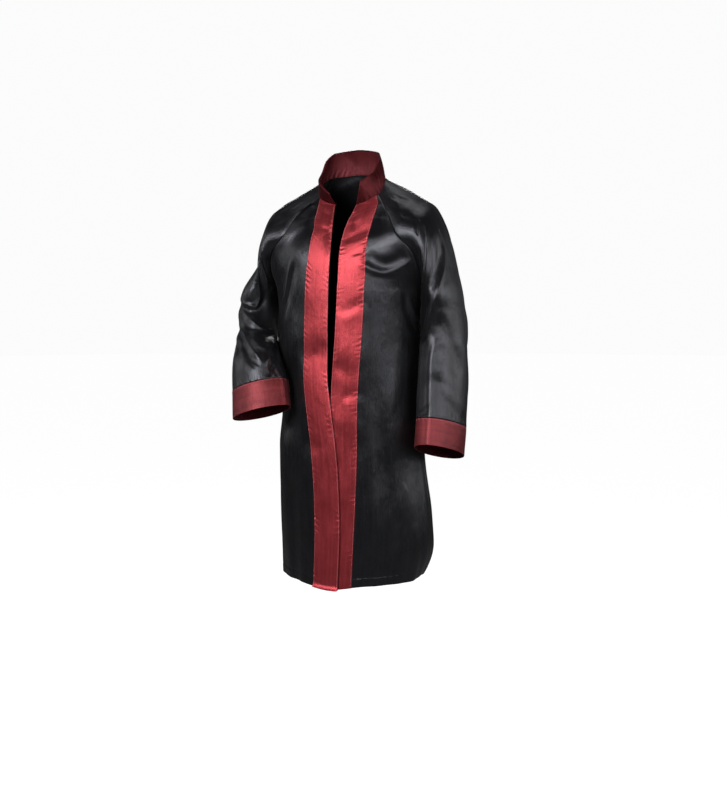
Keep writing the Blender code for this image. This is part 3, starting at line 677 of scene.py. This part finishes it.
def sleeve_push(side, angle, distance):
    """How far the sleeve's broad folds move a point out: hills along straight lines."""
    push = np.zeros(angle.shape)
    for angle_a, along_a, angle_b, along_b, half, depth in SLEEVE_FOLDS[side]:
        line = np.array([(angle_b - angle_a) * SLEEVE_DEGREE, along_b - along_a])
        across, down = (angle - angle_a) * SLEEVE_DEGREE, distance - along_a
        share = np.clip((across * line[0] + down * line[1]) / (line @ line), 0, 1)
        away = np.hypot(across - share * line[0], down - share * line[1])
        push += depth * bump(away / half)
    return push


def pressed_crease(side, angle, below):
    """The crease pressed down a sleeve's front: a tent with a slightly rounded ridge."""
    away = np.abs(angle - look_up(PRESSED[side], below)) * SLEEVE_DEGREE
    start = PRESSED[side][0][0]
    tent = np.sqrt(np.clip(1 - away / PRESSED_HALF, 0, None) ** 2 + 0.003) - 0.055
    return PRESSED_DEPTH * tent * smooth_step(start, start + PRESSED_RUN_IN, below)


def sleeve_fine(side, at, columns):
    """A sleeve's creased surface at these distances from the neckline.

    Smooth columns run through the key sections: the neckline arc, the sections over the
    shoulder and the tilted ellipses round the arm. The last column lies on the first one from
    the row number that is also returned, with each point's distance below the underarm.
    """
    front_seam, back_seam = raglan_seam(side, True), raglan_seam(side, False)
    raglan, _ = sleeve_lengths(side)
    angles = np.linspace(RAGLAN_FRONT_ANGLE[side], RAGLAN_BACK_ANGLE, DENSE)

    def place(section):
        length = np.linalg.norm(np.diff(section, axis=0), axis=1).sum()
        return at_lengths(section, even_share(SLEEVE_GIRTH, columns) * length)

    keys = [0.0]
    sections = [place(neck_point(angles))]
    for share, out, back, up, half_depth in SHOULDER[side]:
        ends = [through(np.arange(RAGLAN_ROWS + 1), seam, np.array(share * RAGLAN_ROWS))
                for seam in (front_seam, back_seam)]
        section = shoulder_section(ends[0], ends[1], np.array([out, back, up], float), half_depth)
        keys.append(share * raglan)
        sections.append(place(section))
    centre_run = run_along(np.array([row[:3] for row in SLEEVE[side]], float), 0)
    for run, row in zip(centre_run, SLEEVE[side]):
        section = tube_section(row[:3], *row[3:])
        if run == 0.0:
            share = np.linspace(0, 1, DENSE)[:, None]
            pull = (2 * share - 1) ** UNDERARM_PULL_POWER
            section = section + (np.array(UNDERARM) - section[0]) * pull
        keys.append(raglan + run)
        sections.append(place(section))
    grid = through(keys, np.array(sections), at)
    yoke = at <= raglan
    rows = at[yoke] / raglan * RAGLAN_ROWS
    grid[yoke, 0] = through(np.arange(RAGLAN_ROWS + 1), front_seam, rows)
    grid[yoke, -1] = through(np.arange(RAGLAN_ROWS + 1), back_seam, rows)
    closed = int(yoke.sum()) - 1
    normals = normals_of(grid, closed)
    below, across = np.meshgrid(at - raglan, even_share(SLEEVE_GIRTH, columns) * 2 - 1,
                                indexing="ij")
    angle = 90 + 180 * across
    fade = smooth_step(SLEEVE_FOLD_START, SLEEVE_FOLD_FULL, below)
    fade = fade * (1 - np.abs(across) ** SEAM_KEEP_POWER)
    push = sleeve_push(side, angle, below) * fade * SLEEVE_FOLD_SHARE
    fine = all_round(angle, below, SLEEVE_CREASES[side], SLEEVE_DEGREE)
    fine += long_folds(angle, below, SLEEVE_LINES[side], SLEEVE_DEGREE)
    fine += pressed_crease(side, angle, below)
    fine += ripple(mirrored(grid, side), *RIPPLES["sleeve"])
    seam_keep = smooth_step(0, SEAM_REACH, to_sides(grid)[1])
    lower_keep = SLEEVE_SEAM_SHARE + (1 - SLEEVE_SEAM_SHARE) * seam_keep
    fine *= np.where(below < 0, seam_keep, lower_keep)
    fine *= smooth_step(0, SLEEVE_TOP_REACH, at)[:, None]
    grid = grid + (push + fine)[..., None] * normals
    grid[closed:, -1] = grid[closed:, 0]
    return mirrored(grid, side), below, closed


def roll_edge(grid, normals, distance):
    """Cloth turns in along a seam: it drops by a quarter circle over the roll's width."""
    share = np.clip(1 - distance / SEAM_ROLL, 0, 1)
    drop = SEAM_DROP * (1 - np.sqrt(1 - np.clip(share, 0, 0.999) ** 2))
    return grid - drop[..., None] * normals


def pucker(place, side, run, distance):
    """Puckers that a seam gathers: uneven short waves along it that die out away from it."""
    left_seed, right_seed, height, pitch, reach = PUCKERS[place]
    seed = right_seed if side == RIGHT else left_seed
    draw = np.random.default_rng(seed)
    total = np.zeros(np.broadcast(run, distance).shape)
    for _ in range(5):
        length = pitch * (0.7 + 0.9 * draw.random())
        slant = draw.normal() * 0.35
        total += np.sin((run + slant * distance) * (2 * math.pi / length) + draw.random() * 6.3)
    swell = 0.55 + 0.45 * np.sin(run * (2 * math.pi / 97.0) + seed)
    return height * total * swell / 2.2 * bell(distance / reach)


class Wire:
    """A value in a shader. Operators add Math nodes."""

    def __init__(self, maker, socket):
        self.maker = maker
        self.socket = socket

    def _math(self, operation, *values):
        return self.maker.node("ShaderNodeMath", {"operation": operation}, *values)

    def __add__(self, other):
        return self._math("ADD", self, other)

    def __radd__(self, other):
        return self._math("ADD", other, self)

    def __sub__(self, other):
        return self._math("SUBTRACT", self, other)

    def __rsub__(self, other):
        return self._math("SUBTRACT", other, self)

    def __mul__(self, other):
        return self._math("MULTIPLY", self, other)

    def __rmul__(self, other):
        return self._math("MULTIPLY", other, self)

    def sin(self):
        return self._math("SINE", self)

    def clamp(self):
        return self.maker.node("ShaderNodeClamp", {}, self)


class Maker:
    """One material and its nodes."""

    def __init__(self, name):
        self.material = bpy.data.materials.new(name)
        self.material.use_nodes = True
        self.tree = self.material.node_tree
        self.shader = self.tree.nodes["Principled BSDF"]

    def node(self, kind, settings, *values, out=0, **named):
        """Adds a node: its settings first, then its sockets by place or by name."""
        made = self.tree.nodes.new(kind)
        for key, value in settings.items():
            setattr(made, key, value)
        sockets = [(made.inputs[number], value) for number, value in enumerate(values)]
        sockets += [(made.inputs[name.replace("_", " ")], value) for name, value in named.items()]
        for socket, value in sockets:
            if isinstance(value, Wire):
                self.tree.links.new(value.socket, socket)
            elif value is not None:
                socket.default_value = value
        return Wire(self, made.outputs[out])

    def mix(self, factor, first, second):
        """A colour between two, by a factor."""
        made = self.tree.nodes.new("ShaderNodeMix")
        made.data_type = "RGBA"
        for socket, value in ((made.inputs[0], factor), (made.inputs[6], first),
                              (made.inputs[7], second)):
            if isinstance(value, Wire):
                self.tree.links.new(value.socket, socket)
            else:
                socket.default_value = value
        return Wire(self, made.outputs[2])

    def feed(self, name, value):
        socket = self.shader.inputs[name]
        if isinstance(value, Wire):
            self.tree.links.new(value.socket, socket)
        else:
            socket.default_value = value


def satin(name, deep, light, roughness, metallic, specular, sheen, crosswise=False):
    """Satin: smooth warp floats with slubs, a faint weave, soft mottling and painted edge
    highlights.

    The cloth map gives millimetres across and down the cloth. Slubs and streaks are noise
    stretched along the warp; the weave is a product of two fine waves. Crosswise pieces have the
    warp running round them, so their noise runs round them too; the darker colours they are
    given are painted shade for the duller sheen of satin cut that way.
    """
    maker = Maker(name)
    cloth = maker.node("ShaderNodeUVMap", {"uv_map": "cloth"})
    parts = maker.node("ShaderNodeSeparateXYZ", {}, cloth)
    across = parts * 1000.0
    down = Wire(maker, parts.socket.node.outputs[1]) * 1000.0
    if crosswise:
        across, down = down, across

    def stretched(scale_across, scale_down, detail, roughen=0.55):
        place = maker.node("ShaderNodeCombineXYZ", {}, across * scale_across, down * scale_down)
        return maker.node("ShaderNodeTexNoise", {"noise_dimensions": "2D"}, Vector=place,
                          Scale=1.0, Detail=detail, Roughness=roughen)

    slubs = stretched(1.5, 0.045, 3.0)
    floats = stretched(0.5, 0.018, 2.0)
    streaks = stretched(0.17, 0.005, 2.0)
    mottle = stretched(0.030, 0.022, 3.0)
    crumple = stretched(0.045, 0.028, 2.0, 0.5)
    weave = (across * (2 * math.pi / 0.55)).sin() * (down * (2 * math.pi / 0.8)).sin()
    tone = (slubs - 0.5) * 0.5 + (floats - 0.5) * 0.5 + (mottle - 0.5) * 0.7 + 0.5
    tone = tone + (streaks - 0.5) * 0.6
    # Painted highlight: the 'edge' attribute lightens the colour along the folded edges of bands,
    # cuffs and collar.
    painted_edge_highlight = maker.node("ShaderNodeAttribute", {"attribute_name": "edge"}, out=2)
    base = maker.mix((tone + painted_edge_highlight * 0.8).clamp(), deep, light)
    maker.feed("Base Color", base)
    rough = roughness + (slubs - 0.5) * 0.10 + (mottle - 0.5) * 0.10 + (floats - 0.5) * 0.06
    rough = rough + (streaks - 0.5) * 0.09
    maker.feed("Roughness", rough.clamp())
    relief = (slubs - 0.5) * 0.06 + weave * 0.02 + (crumple - 0.5) * 0.7
    relief = relief + (floats - 0.5) * 0.07 + (streaks - 0.5) * 0.07
    normal = maker.node("ShaderNodeBump", {}, Strength=1.0, Distance=MM, Height=relief)
    maker.feed("Normal", normal)
    maker.feed("Metallic", metallic)
    maker.feed("Specular IOR Level", specular)
    maker.feed("Specular Tint", (0.90, 0.91, 1.0, 1))
    maker.feed("Sheen Weight", sheen)
    maker.feed("Sheen Roughness", 0.4)
    maker.feed("Anisotropic", 0.75)
    return maker.material


def thread(name, colour):
    """Twisted sewing thread: a fine slanting wave round it, darker in its grooves as painted shade.
    """
    maker = Maker(name)
    cloth = maker.node("ShaderNodeUVMap", {"uv_map": "cloth"})
    parts = maker.node("ShaderNodeSeparateXYZ", {}, cloth)
    across = parts * 1000.0
    down = Wire(maker, parts.socket.node.outputs[1]) * 1000.0
    twist = ((across + down) * (2 * math.pi / 0.5)).sin()
    shade = tuple(channel * 0.6 for channel in colour[:3]) + (1.0,)
    maker.feed("Base Color", maker.mix(twist * 0.5 + 0.5, shade, colour))
    maker.feed("Roughness", 0.45)
    maker.feed("Normal", maker.node("ShaderNodeBump", {}, Strength=0.5, Distance=0.1 * MM,
                                    Height=twist))
    return maker.material


def grid_quads(rows, columns):
    index = np.arange(rows * columns).reshape(rows, columns)
    return np.stack([index[:-1, :-1], index[1:, :-1], index[1:, 1:], index[:-1, 1:]],
                    axis=-1).reshape(-1, 4)


def make_piece(name, points, quads, corners_uv, materials, face_material=None, edge=None,
               sharp=50.0):
    """A mesh from whole arrays: points in millimetres, four-cornered faces, their cloth map."""
    mesh = bpy.data.meshes.new(name)
    mesh.vertices.add(len(points))
    mesh.vertices.foreach_set("co", (points * MM).astype(np.float32).ravel())
    mesh.loops.add(quads.size)
    mesh.loops.foreach_set("vertex_index", quads.ravel().astype(np.int32))
    mesh.polygons.add(len(quads))
    mesh.polygons.foreach_set("loop_start", np.arange(0, quads.size, 4, dtype=np.int32))
    if face_material is not None:
        mesh.polygons.foreach_set("material_index", face_material.astype(np.int32))
    layer = mesh.uv_layers.new(name="cloth")
    layer.data.foreach_set("uv", (corners_uv * MM).astype(np.float32).ravel())
    # The 'edge' attribute holds a painted highlight along folded edges, which lightens the satin's
    # colour.
    if edge is not None:
        mesh.attributes.new("edge", "FLOAT", "POINT").data.foreach_set(
            "value", edge.astype(np.float32))
    mesh.update(calc_edges=True)
    mesh.validate()
    mesh.shade_smooth()
    mesh.set_sharp_from_angle(angle=math.radians(sharp))
    for material in materials:
        mesh.materials.append(material)
    piece = bpy.data.objects.new(name, mesh)
    bpy.context.scene.collection.objects.link(piece)
    return piece


def turned_in(grid, normals, top=0, bottom=0, start=0, end=0):
    """Seam allowance: past the chosen edges the cloth runs on straight inwards, under the seam."""
    steps = np.array(ALLOWANCE_STEPS)
    pads = ((len(steps) * top, len(steps) * bottom), (len(steps) * start, len(steps) * end))
    down = np.concatenate([steps[::-1]] * top + [np.zeros(grid.shape[0])] + [steps] * bottom)
    across = np.concatenate([steps[::-1]] * start + [np.zeros(grid.shape[1])] + [steps] * end)
    depth = np.maximum(down[:, None], across[None])
    grid, normals = (np.pad(values, pads + ((0, 0),), mode="edge") for values in (grid, normals))
    return grid - depth[..., None] * normals


def shell(name, outer, normals, thick, materials, flip=False, edge=None):
    """One closed shell of cloth: the outer grid, the same grid moved in, and the rims between.

    The inner faces take the second material, the satin's duller reverse; on the burgundy pieces its
    darker colours are painted shade on the inside.
    """
    rows, columns = outer.shape[:2]
    count = rows * columns
    inner = outer - np.broadcast_to(thick, (rows, columns))[..., None] * normals
    points = np.concatenate([outer.reshape(-1, 3), inner.reshape(-1, 3)])
    across = run_along(outer, 1)
    across = across - across[:, columns // 2][:, None]
    down = run_along(outer, 0)
    down = np.repeat(down[:, columns // 2][:, None], columns, axis=1)
    flat = np.stack([across, down], axis=-1).reshape(-1, 2)
    flat = np.concatenate([flat, flat + np.array([0.37, 0.21])])
    index = np.arange(count).reshape(rows, columns)
    face = grid_quads(rows, columns)
    faces = [face, face[:, ::-1] + count]
    slots = [np.zeros(len(face)), np.ones(len(face))]
    for rim in (index[0], index[-1][::-1], index[:, 0][::-1], index[:, -1]):
        near, far = rim[:-1], rim[1:]
        faces.append(np.stack([near, far, far + count, near + count], axis=1))
        slots.append(np.zeros(len(near)))
    faces = np.concatenate(faces)
    if flip:
        faces = faces[:, ::-1]
    # The painted edge highlight goes on the outer points; the inner points get none.
    edge_highlight = None if edge is None else np.concatenate([edge.ravel(), np.zeros(count)])
    return make_piece(name, points, faces, flat[faces], materials, np.concatenate(slots), edge_highlight)


def sewn_line(name, line, normals, material):
    """A row of stitches: six-sided spindles along a line, whose ends dip into the cloth."""
    run = run_along(line, 0)
    middles = np.arange(STITCH_PITCH, run[-1] - STITCH_PITCH, STITCH_PITCH)

    def at(values, where):
        return np.stack([np.interp(where, run, values[:, axis]) for axis in range(3)], axis=1)

    along = unit(at(line, middles + 0.5) - at(line, middles - 0.5))
    up = unit(at(normals, middles))
    side = unit(np.cross(along, up))
    centre = at(line, middles)
    places = STITCH_SPINE * STITCH_LENGTH
    widths, lifts = STITCH_WIDTHS * STITCH_RADIUS, STITCH_LIFTS * STITCH_RADIUS
    turn = np.arange(STITCH_SIDES) * math.pi / 3
    spine = (centre[:, None] + along[:, None] * places[None, :, None]
             + up[:, None] * lifts[None, :, None])
    ring = (side[:, None, None] * (np.cos(turn)[None, None, :] * widths[None, :, None])[..., None]
            + up[:, None, None] * (np.sin(turn)[None, None, :] * widths[None, :, None])[..., None])
    points = spine[:, :, None] + ring
    index = np.arange(points.shape[0] * points.shape[1] * STITCH_SIDES).reshape(points.shape[:3])
    following = np.roll(index, -1, axis=2)
    faces = np.stack([index[:, :-1], following[:, :-1], following[:, 1:], index[:, 1:]],
                     axis=-1).reshape(-1, 4)
    caps = [np.stack([index[:, end, a], index[:, end, b], index[:, end, c], index[:, end, d]],
                     axis=-1)
            for end, corners in ((0, ((0, 3, 2, 1), (0, 5, 4, 3))),
                                 (-1, ((0, 1, 2, 3), (0, 3, 4, 5))))
            for a, b, c, d in corners]
    faces = np.concatenate([faces] + caps)
    flat = np.stack([np.broadcast_to(turn * STITCH_RADIUS, points.shape[:3]),
                     np.broadcast_to((middles[:, None] + places)[..., None],
                                     points.shape[:3])], axis=-1).reshape(-1, 2)
    return make_piece(name, points.reshape(-1, 3), faces, flat[faces], [material])


BLACK = satin("black_satin_face", (0.0026, 0.0026, 0.003, 1), (0.0066, 0.0066, 0.0078, 1),
              0.34, 0.0, 0.52, 0.02)
BLACK_REVERSE = satin("black_satin_reverse", (0.003, 0.003, 0.0034, 1), (0.006, 0.006, 0.007, 1),
                      0.55, 0.0, 0.3, 0.03)
BURGUNDY = satin("burgundy_satin_face", (0.26, 0.028, 0.033, 1), (0.50, 0.062, 0.074, 1),
                 0.43, 0.72, 0.25, 0.02)
# The cuffs' burgundy is the bands' satin made darker: painted shade for the duller sheen of satin
# cut crosswise.
BURGUNDY_CROSS_SHADED = satin("burgundy_satin_crosswise_painted_shade", (0.10, 0.013, 0.015, 1),
                       (0.24, 0.034, 0.038, 1), 0.44, 0.60, 0.4, 0.03, crosswise=True)
# The collar's burgundy is the bands' satin made far darker: painted shade.
BURGUNDY_COLLAR_SHADED = satin("burgundy_satin_collar_painted_shade", (0.035, 0.004, 0.005, 1),
                        (0.09, 0.011, 0.013, 1), 0.44, 0.6, 0.15, 0.0)
# The burgundy reverse is rougher, which is the real dull reverse, and darker, which is painted
# shade on the insides of bands, cuffs and collar.
BURGUNDY_REVERSE_SHADED = satin("burgundy_satin_reverse_painted_shade", (0.07, 0.008, 0.010, 1),
                         (0.14, 0.016, 0.020, 1), 0.5, 0.5, 0.3, 0.03)
BURGUNDY_THREAD = thread("burgundy_thread", (0.72, 0.26, 0.28, 1))


def body_row_places():
    """Rows of the body: even ones, with closer ones at the neckline, the hem and its stitching."""
    step = (UNDERARM[2] - HEM_Z) / BODY_ROWS
    last = RAGLAN_ROWS + BODY_ROWS
    even = np.linspace(0, last, last * BODY_FINE + 1)
    neck = np.array(EDGE_STEPS) / 14.0
    hem = last - np.array(EDGE_STEPS[::-1]) / step
    stitch = last - (HEM_TURN + np.array([2.8, 1.4, 0.6, -0.6, -1.4, -2.8])) / step
    return np.unique(np.round(np.concatenate([even, neck, hem, stitch]), 5))


def hem_form(grid, normals, rows):
    """The turned hem: a shallow groove where it is stitched, and a slightly thicker edge below."""
    step = (UNDERARM[2] - HEM_Z) / BODY_ROWS
    above = ((RAGLAN_ROWS + BODY_ROWS - rows) * step)[:, None] + 0 * grid[..., 0]
    groove = -HEM_GROOVE * bell((above - HEM_TURN) / 1.5)
    full = 0.2 * (1 - smooth_step(HEM_TURN - 4, HEM_TURN, above))
    edge = -0.45 * np.clip(1 - above / 1.6, 0, 1) ** 2
    waves = pucker("hem", LEFT, run_along(grid, 1), np.abs(above - HEM_TURN))
    return grid + (groove + full + edge + waves)[..., None] * normals


def ride_as_cloth(piece, node, extra=()):
    """Attaches a cloth piece and its stitches to the root, and hides the solid part it replaces."""
    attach(piece, "root")
    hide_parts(node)
    for part in extra:
        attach(part, "root")


def make_front(side, rows):
    """A front, from its open edge to its seams."""
    sign = SIDE_SIGN[side]
    share = even_share(PANEL_WIDTH, FRONT_FINE_COLUMNS)
    grid = front_fine(side, rows, lambda whole, band: share * whole)
    normals = normals_of(grid, sign=sign)
    grid = hem_form(grid, normals, rows)
    run = run_along(grid, 1)
    grid = roll_edge(grid, normals, np.minimum(run[:, -1:] - run, run * 0.7))
    grid = turned_in(grid, normals, end=1)
    front = shell("front_" + side, grid, normals_of(grid, sign=sign), SATIN_THICK,
                  [BLACK, BLACK_REVERSE], side == RIGHT)
    ride_as_cloth(front, "front_" + side)


def make_band(side, last_row):
    """A front's band: the front's own surface moved out, with puckers and topstitching."""
    sign = SIDE_SIGN[side]
    band_rows = np.linspace(0, last_row, int(last_row) * BAND_FINE + 1)
    share = even_share(BAND_EVEN_WIDTH, BAND_FINE_COLUMNS)
    under = front_fine(side, band_rows, lambda whole, band: share * band)
    normals = normals_of(under, sign=sign)
    inner_gap = run_along(under, 1)
    width = inner_gap[:, -1:]
    outer_gap = width - inner_gap
    length = run_along(under, 0)
    to_edge = np.minimum(inner_gap, outer_gap)
    lift = SEAM_GAP + SATIN_THICK + BAND_LIFT
    lift = lift + pucker("band_outer_edge", side, length, outer_gap)
    lift = lift + pucker("band_inner_edge", side, length, inner_gap)
    lift = lift + BAND_BELLY * bump((inner_gap / width - 0.5) * 1.6)
    lift = lift - STITCH_GROOVE * bell((to_edge - STITCH_INSET) / STITCH_GROOVE_HALF)
    lift = np.maximum(lift, SEAM_GAP + BAND_LEAST_LIFT)
    if side == RIGHT:
        to_end = length[-1:] - length
        lift = lift + BAND_END_LIFT * np.clip(1 - to_end / BAND_END_REACH, 0, 1) ** 2
    grid = under + lift[..., None] * normals
    grid = roll_edge(grid, normals, to_edge * 2.2)
    # Painted highlight along both folded edges of the band.
    edge_highlight = bell(to_edge / 1.2)
    band = shell("band_" + side, grid, normals_of(grid, sign=sign), BAND_THICK,
                 [BURGUNDY, BURGUNDY_REVERSE_SHADED], side == RIGHT, edge_highlight)
    seams = []
    runs = run_along(grid, 1)
    for word, places, line_column in (("inner", STITCH_INSET + 0 * runs[:, -1], 3),
                                      ("outer", runs[:, -1] - STITCH_INSET, -4)):
        line = np.array([at_lengths(points, [place])[0] for points, place in zip(grid, places)])
        seams.append(sewn_line(f"stitches_band_{side}_{word}", line, normals[:, line_column],
                               BURGUNDY_THREAD))
    ride_as_cloth(band, "band_" + side, seams)


def make_back(rows):
    """The back, from seam to seam."""
    grid = back_fine(rows, BACK_FINE_COLUMNS)
    normals = normals_of(grid)
    grid = hem_form(grid, normals, rows)
    grid = roll_edge(grid, normals, to_sides(grid)[1])
    grid = turned_in(grid, normals, start=1, end=1)
    back = shell("back", grid, normals_of(grid), SATIN_THICK, [BLACK, BLACK_REVERSE])
    ride_as_cloth(back, "back")


def make_sleeve(side):
    """A sleeve from the neckline to its cuff."""
    sign = SIDE_SIGN[side]
    raglan, arm = sleeve_lengths(side)
    seam_at = raglan + arm - CUFF_LENGTH
    fine_rows = RAGLAN_ROWS * SLEEVE_FINE
    places = np.concatenate([graded(raglan, fine_rows),
                             raglan + graded(arm - CUFF_LENGTH, fine_rows)[len(EDGE_STEPS) + 1:]])
    grid, below, closed = sleeve_fine(side, np.unique(np.round(places, 3)), SLEEVE_FINE_COLUMNS)
    normals = normals_of(grid, closed, sign)
    run, to_side = to_sides(grid)
    to_cuff = seam_at - raglan - below
    waves = pucker("sleeve_end", side, run, to_cuff)
    grid = grid + (waves * smooth_step(0, 12, to_side))[..., None] * normals
    grid = roll_edge(grid, normals, np.minimum(to_side, to_cuff))
    grid = turned_in(grid, normals, bottom=1, start=1, end=1)
    sleeve = shell("sleeve_" + side, grid, normals_of(grid, sign=sign), SATIN_THICK,
                   [BLACK, BLACK_REVERSE], side == RIGHT)
    ride_as_cloth(sleeve, "sleeve_" + side)


def make_cuff(side):
    """A cuff: two layers turned at the open end, puckered and stitched at its seam."""
    sign = SIDE_SIGN[side]
    raglan, arm = sleeve_lengths(side)
    cuff_rows = raglan + arm - CUFF_LENGTH + graded(CUFF_LENGTH, CUFF_FINE_ROWS)
    grid, below, _ = sleeve_fine(side, cuff_rows, SLEEVE_FINE_COLUMNS)
    normals = normals_of(grid, 0, sign)
    from_top = below - (arm - CUFF_LENGTH)
    run, to_side = to_sides(grid)
    waves = pucker("cuff_seam", side, run, from_top)
    waves = waves + pucker("cuff_end", side, run, CUFF_LENGTH - from_top)
    lift = CUFF_LIFT + waves * smooth_step(0, 12, to_side)
    lift = lift - STITCH_GROOVE * bell((from_top - STITCH_INSET) / STITCH_GROOVE_HALF)
    lift = lift - 0.3 * np.clip(1 - (CUFF_LENGTH - from_top) / 1.2, 0, 1) ** 2
    grid = grid + lift[..., None] * normals
    grid = roll_edge(grid, normals, np.minimum(to_side, from_top * 1.6))
    # Painted highlight along the cuff's seam and its turned end.
    edge_highlight = bell(np.minimum(from_top, CUFF_LENGTH - from_top) / 1.2)
    line = np.stack([[np.interp(STITCH_INSET, from_top[:, 0], grid[:, place, axis])
                      for axis in range(3)] for place in range(grid.shape[1])])
    stitches = sewn_line("stitches_cuff_" + side, line, normals[4], BURGUNDY_THREAD)
    grid = turned_in(grid, normals, top=1, start=1, end=1)
    count = len(ALLOWANCE_STEPS)
    edge_highlight = np.pad(edge_highlight, ((count, 0), (count, count)), mode="edge")
    cuff = shell("cuff_" + side, grid, normals_of(grid, sign=sign), CUFF_THICK,
                 [BURGUNDY_CROSS_SHADED, BURGUNDY_REVERSE_SHADED], side == RIGHT, edge_highlight)
    ride_as_cloth(cuff, "cuff_" + side, [stitches])


def neckline_points():
    """The collar seam, from the left front's edge round the back to the right front's edge."""
    pieces = []
    for side in (LEFT, RIGHT):
        sign = np.array([SIDE_SIGN[side], 1, 1])
        front = spaced(body_rows(side, True, [0.0])[0], 90)
        turn = np.linspace(RAGLAN_FRONT_ANGLE[side], RAGLAN_BACK_ANGLE, DENSE)
        arc = spaced(neck_point(turn), 60)
        back = spaced(body_rows(side, False, [0.0])[0], 60)[::-1]
        pieces.append(np.concatenate([front, arc[1:], back[1:]]) * sign)
    return np.concatenate([pieces[0], pieces[1][::-1][1:]])


def make_collar():
    """The stand collar: it rises from the neckline by a tabled way, bellied a little.

    It is two layers thick, and its inner layer runs on below the seam, over the gown's edge.
    """
    seam = neckline_points()
    length = run_along(seam, 0)[-1]
    places = graded(length, COLLAR_FINE_COLUMNS)
    seam = at_lengths(seam, places)
    share = places / length
    rise = np.stack([look_up(COLLAR_RISE, share, index) for index in (1, 2, 3)], axis=1)
    height = np.linalg.norm(rise, axis=1)[None]
    up = 1 - even_share(COLLAR_HEIGHT, COLLAR_FINE_ROWS)[:, None]
    grid = seam[None] + rise[None] * up[..., None]
    normals = normals_of(grid)
    way_up = up * height
    belly = COLLAR_BELLY * np.sin(math.pi * up)
    press = bell((places[None] - COLLAR_PRESS * length) / COLLAR_PRESS_HALF)
    press = COLLAR_PRESS_HEIGHT * press * np.sin(math.pi * up)
    waves = pucker("collar_seam", LEFT, places[None] + 0 * way_up, way_up)
    waves = waves + pucker("collar_top", LEFT, places[None] + 0 * way_up, height - way_up)
    uneven = ripple(grid, *RIPPLES["collar"]) * up
    grid = grid + (belly + press + waves + uneven)[..., None] * normals
    edge = np.clip(np.minimum(np.minimum(places, length - places)[None], height - way_up), 0, None)
    grid = roll_edge(grid, normals, edge)
    # Painted highlight along the collar's edges.
    edge_highlight = bell(edge / 1.4)
    down = -unit(rise)
    inner = [grid[-1] - (COLLAR_THICK + 0.05) * normals[-1]]
    inner.append(inner[0] + COLLAR_LAP * down - 0.3 * normals[-1])
    grid = np.concatenate([grid, np.array(inner)])
    normals = np.pad(normals, ((0, 2), (0, 0), (0, 0)), mode="edge")
    thick = np.where(np.arange(len(grid)) < len(grid) - 2, COLLAR_THICK, 0.5)[:, None]
    collar = shell("collar", grid, normals, thick, [BURGUNDY_COLLAR_SHADED, BURGUNDY_REVERSE_SHADED],
                   edge=np.pad(edge_highlight, ((0, 2), (0, 0)), mode="edge"))
    ride_as_cloth(collar, "collar")


def build_gown():
    rows = body_row_places()
    for side in (LEFT, RIGHT):
        make_front(side, rows)
        make_band(side, rows[-1])
        make_sleeve(side)
        make_cuff(side)
    make_back(rows)
    make_collar()


def make_floor():
    """A plain pale floor."""
    turn = np.linspace(0, 2 * math.pi, 97)[:-1]
    mesh = bpy.data.meshes.new("floor")
    ring = np.stack([np.cos(turn), np.sin(turn), np.zeros_like(turn)], axis=1) * FLOOR_RADIUS
    mesh.from_pydata((ring + np.array([0, 0, FLOOR_Z])).tolist(), [], [list(range(96))])
    maker = Maker("pale_floor")
    maker.feed("Base Color", (0.2, 0.2, 0.2, 1))
    maker.feed("Roughness", 0.9)
    seen = maker.node("ShaderNodeLightPath", {})
    maker.feed("Emission Color", (0.97, 0.97, 0.97, 1))
    maker.feed("Emission Strength", seen * FLOOR_GLOW)
    mesh.materials.append(maker.material)
    floor = bpy.data.objects.new("floor", mesh)
    bpy.context.scene.collection.objects.link(floor)


def add_light(name, place, aim, size, power):
    """A soft box: an area light at a place, aimed at a point."""
    data = bpy.data.lights.new(name, "AREA")
    data.shape = "RECTANGLE"
    data.size, data.size_y = size
    data.energy = power
    light = bpy.data.objects.new(name, data)
    light.location = place
    light.rotation_euler = (Vector(aim) - Vector(place)).to_track_quat("-Z", "Y").to_euler()
    bpy.context.scene.collection.objects.link(light)


def make_studio():
    """Soft boxes round the gown, a pale background and the camera."""
    make_floor()
    for name, azimuth, distance, height, aim, size, power in LIGHTS:
        turn = math.radians(azimuth)
        add_light(name, (distance * math.sin(turn), -distance * math.cos(turn), height),
                  (0, 0, aim), size, power)
    world = bpy.data.worlds.new("studio")
    world.use_nodes = True
    tree = world.node_tree
    ambient = tree.nodes["Background"]
    ambient.inputs["Color"].default_value = (0.95, 0.97, 1.0, 1)
    ambient.inputs["Strength"].default_value = AMBIENT
    seen = tree.nodes.new("ShaderNodeBackground")
    seen.inputs["Color"].default_value = (BACKDROP, BACKDROP, BACKDROP, 1)
    seen.inputs["Strength"].default_value = 1.0
    path = tree.nodes.new("ShaderNodeLightPath")
    both = tree.nodes.new("ShaderNodeMixShader")
    tree.links.new(path.outputs["Is Camera Ray"], both.inputs[0])
    tree.links.new(ambient.outputs[0], both.inputs[1])
    tree.links.new(seen.outputs[0], both.inputs[2])
    tree.links.new(both.outputs[0], tree.nodes["World Output"].inputs[0])
    bpy.context.scene.world = world

    data = bpy.data.cameras.new("camera")
    data.sensor_fit = "VERTICAL"
    data.sensor_height = SENSOR
    data.lens = LENS
    camera = bpy.data.objects.new("camera", data)
    azimuth = math.radians(VIEW_AZIMUTH)
    camera.location = (VIEW_DISTANCE * math.sin(azimuth), -VIEW_DISTANCE * math.cos(azimuth),
                       VIEW_HEIGHT)
    camera.rotation_euler = (math.radians(90 - VIEW_PITCH), 0,
                             math.radians(VIEW_AZIMUTH - VIEW_TURN))
    bpy.context.scene.collection.objects.link(camera)
    bpy.context.scene.camera = camera
    bpy.context.scene.view_settings.view_transform = "Standard"


make_studio()
build_gown()
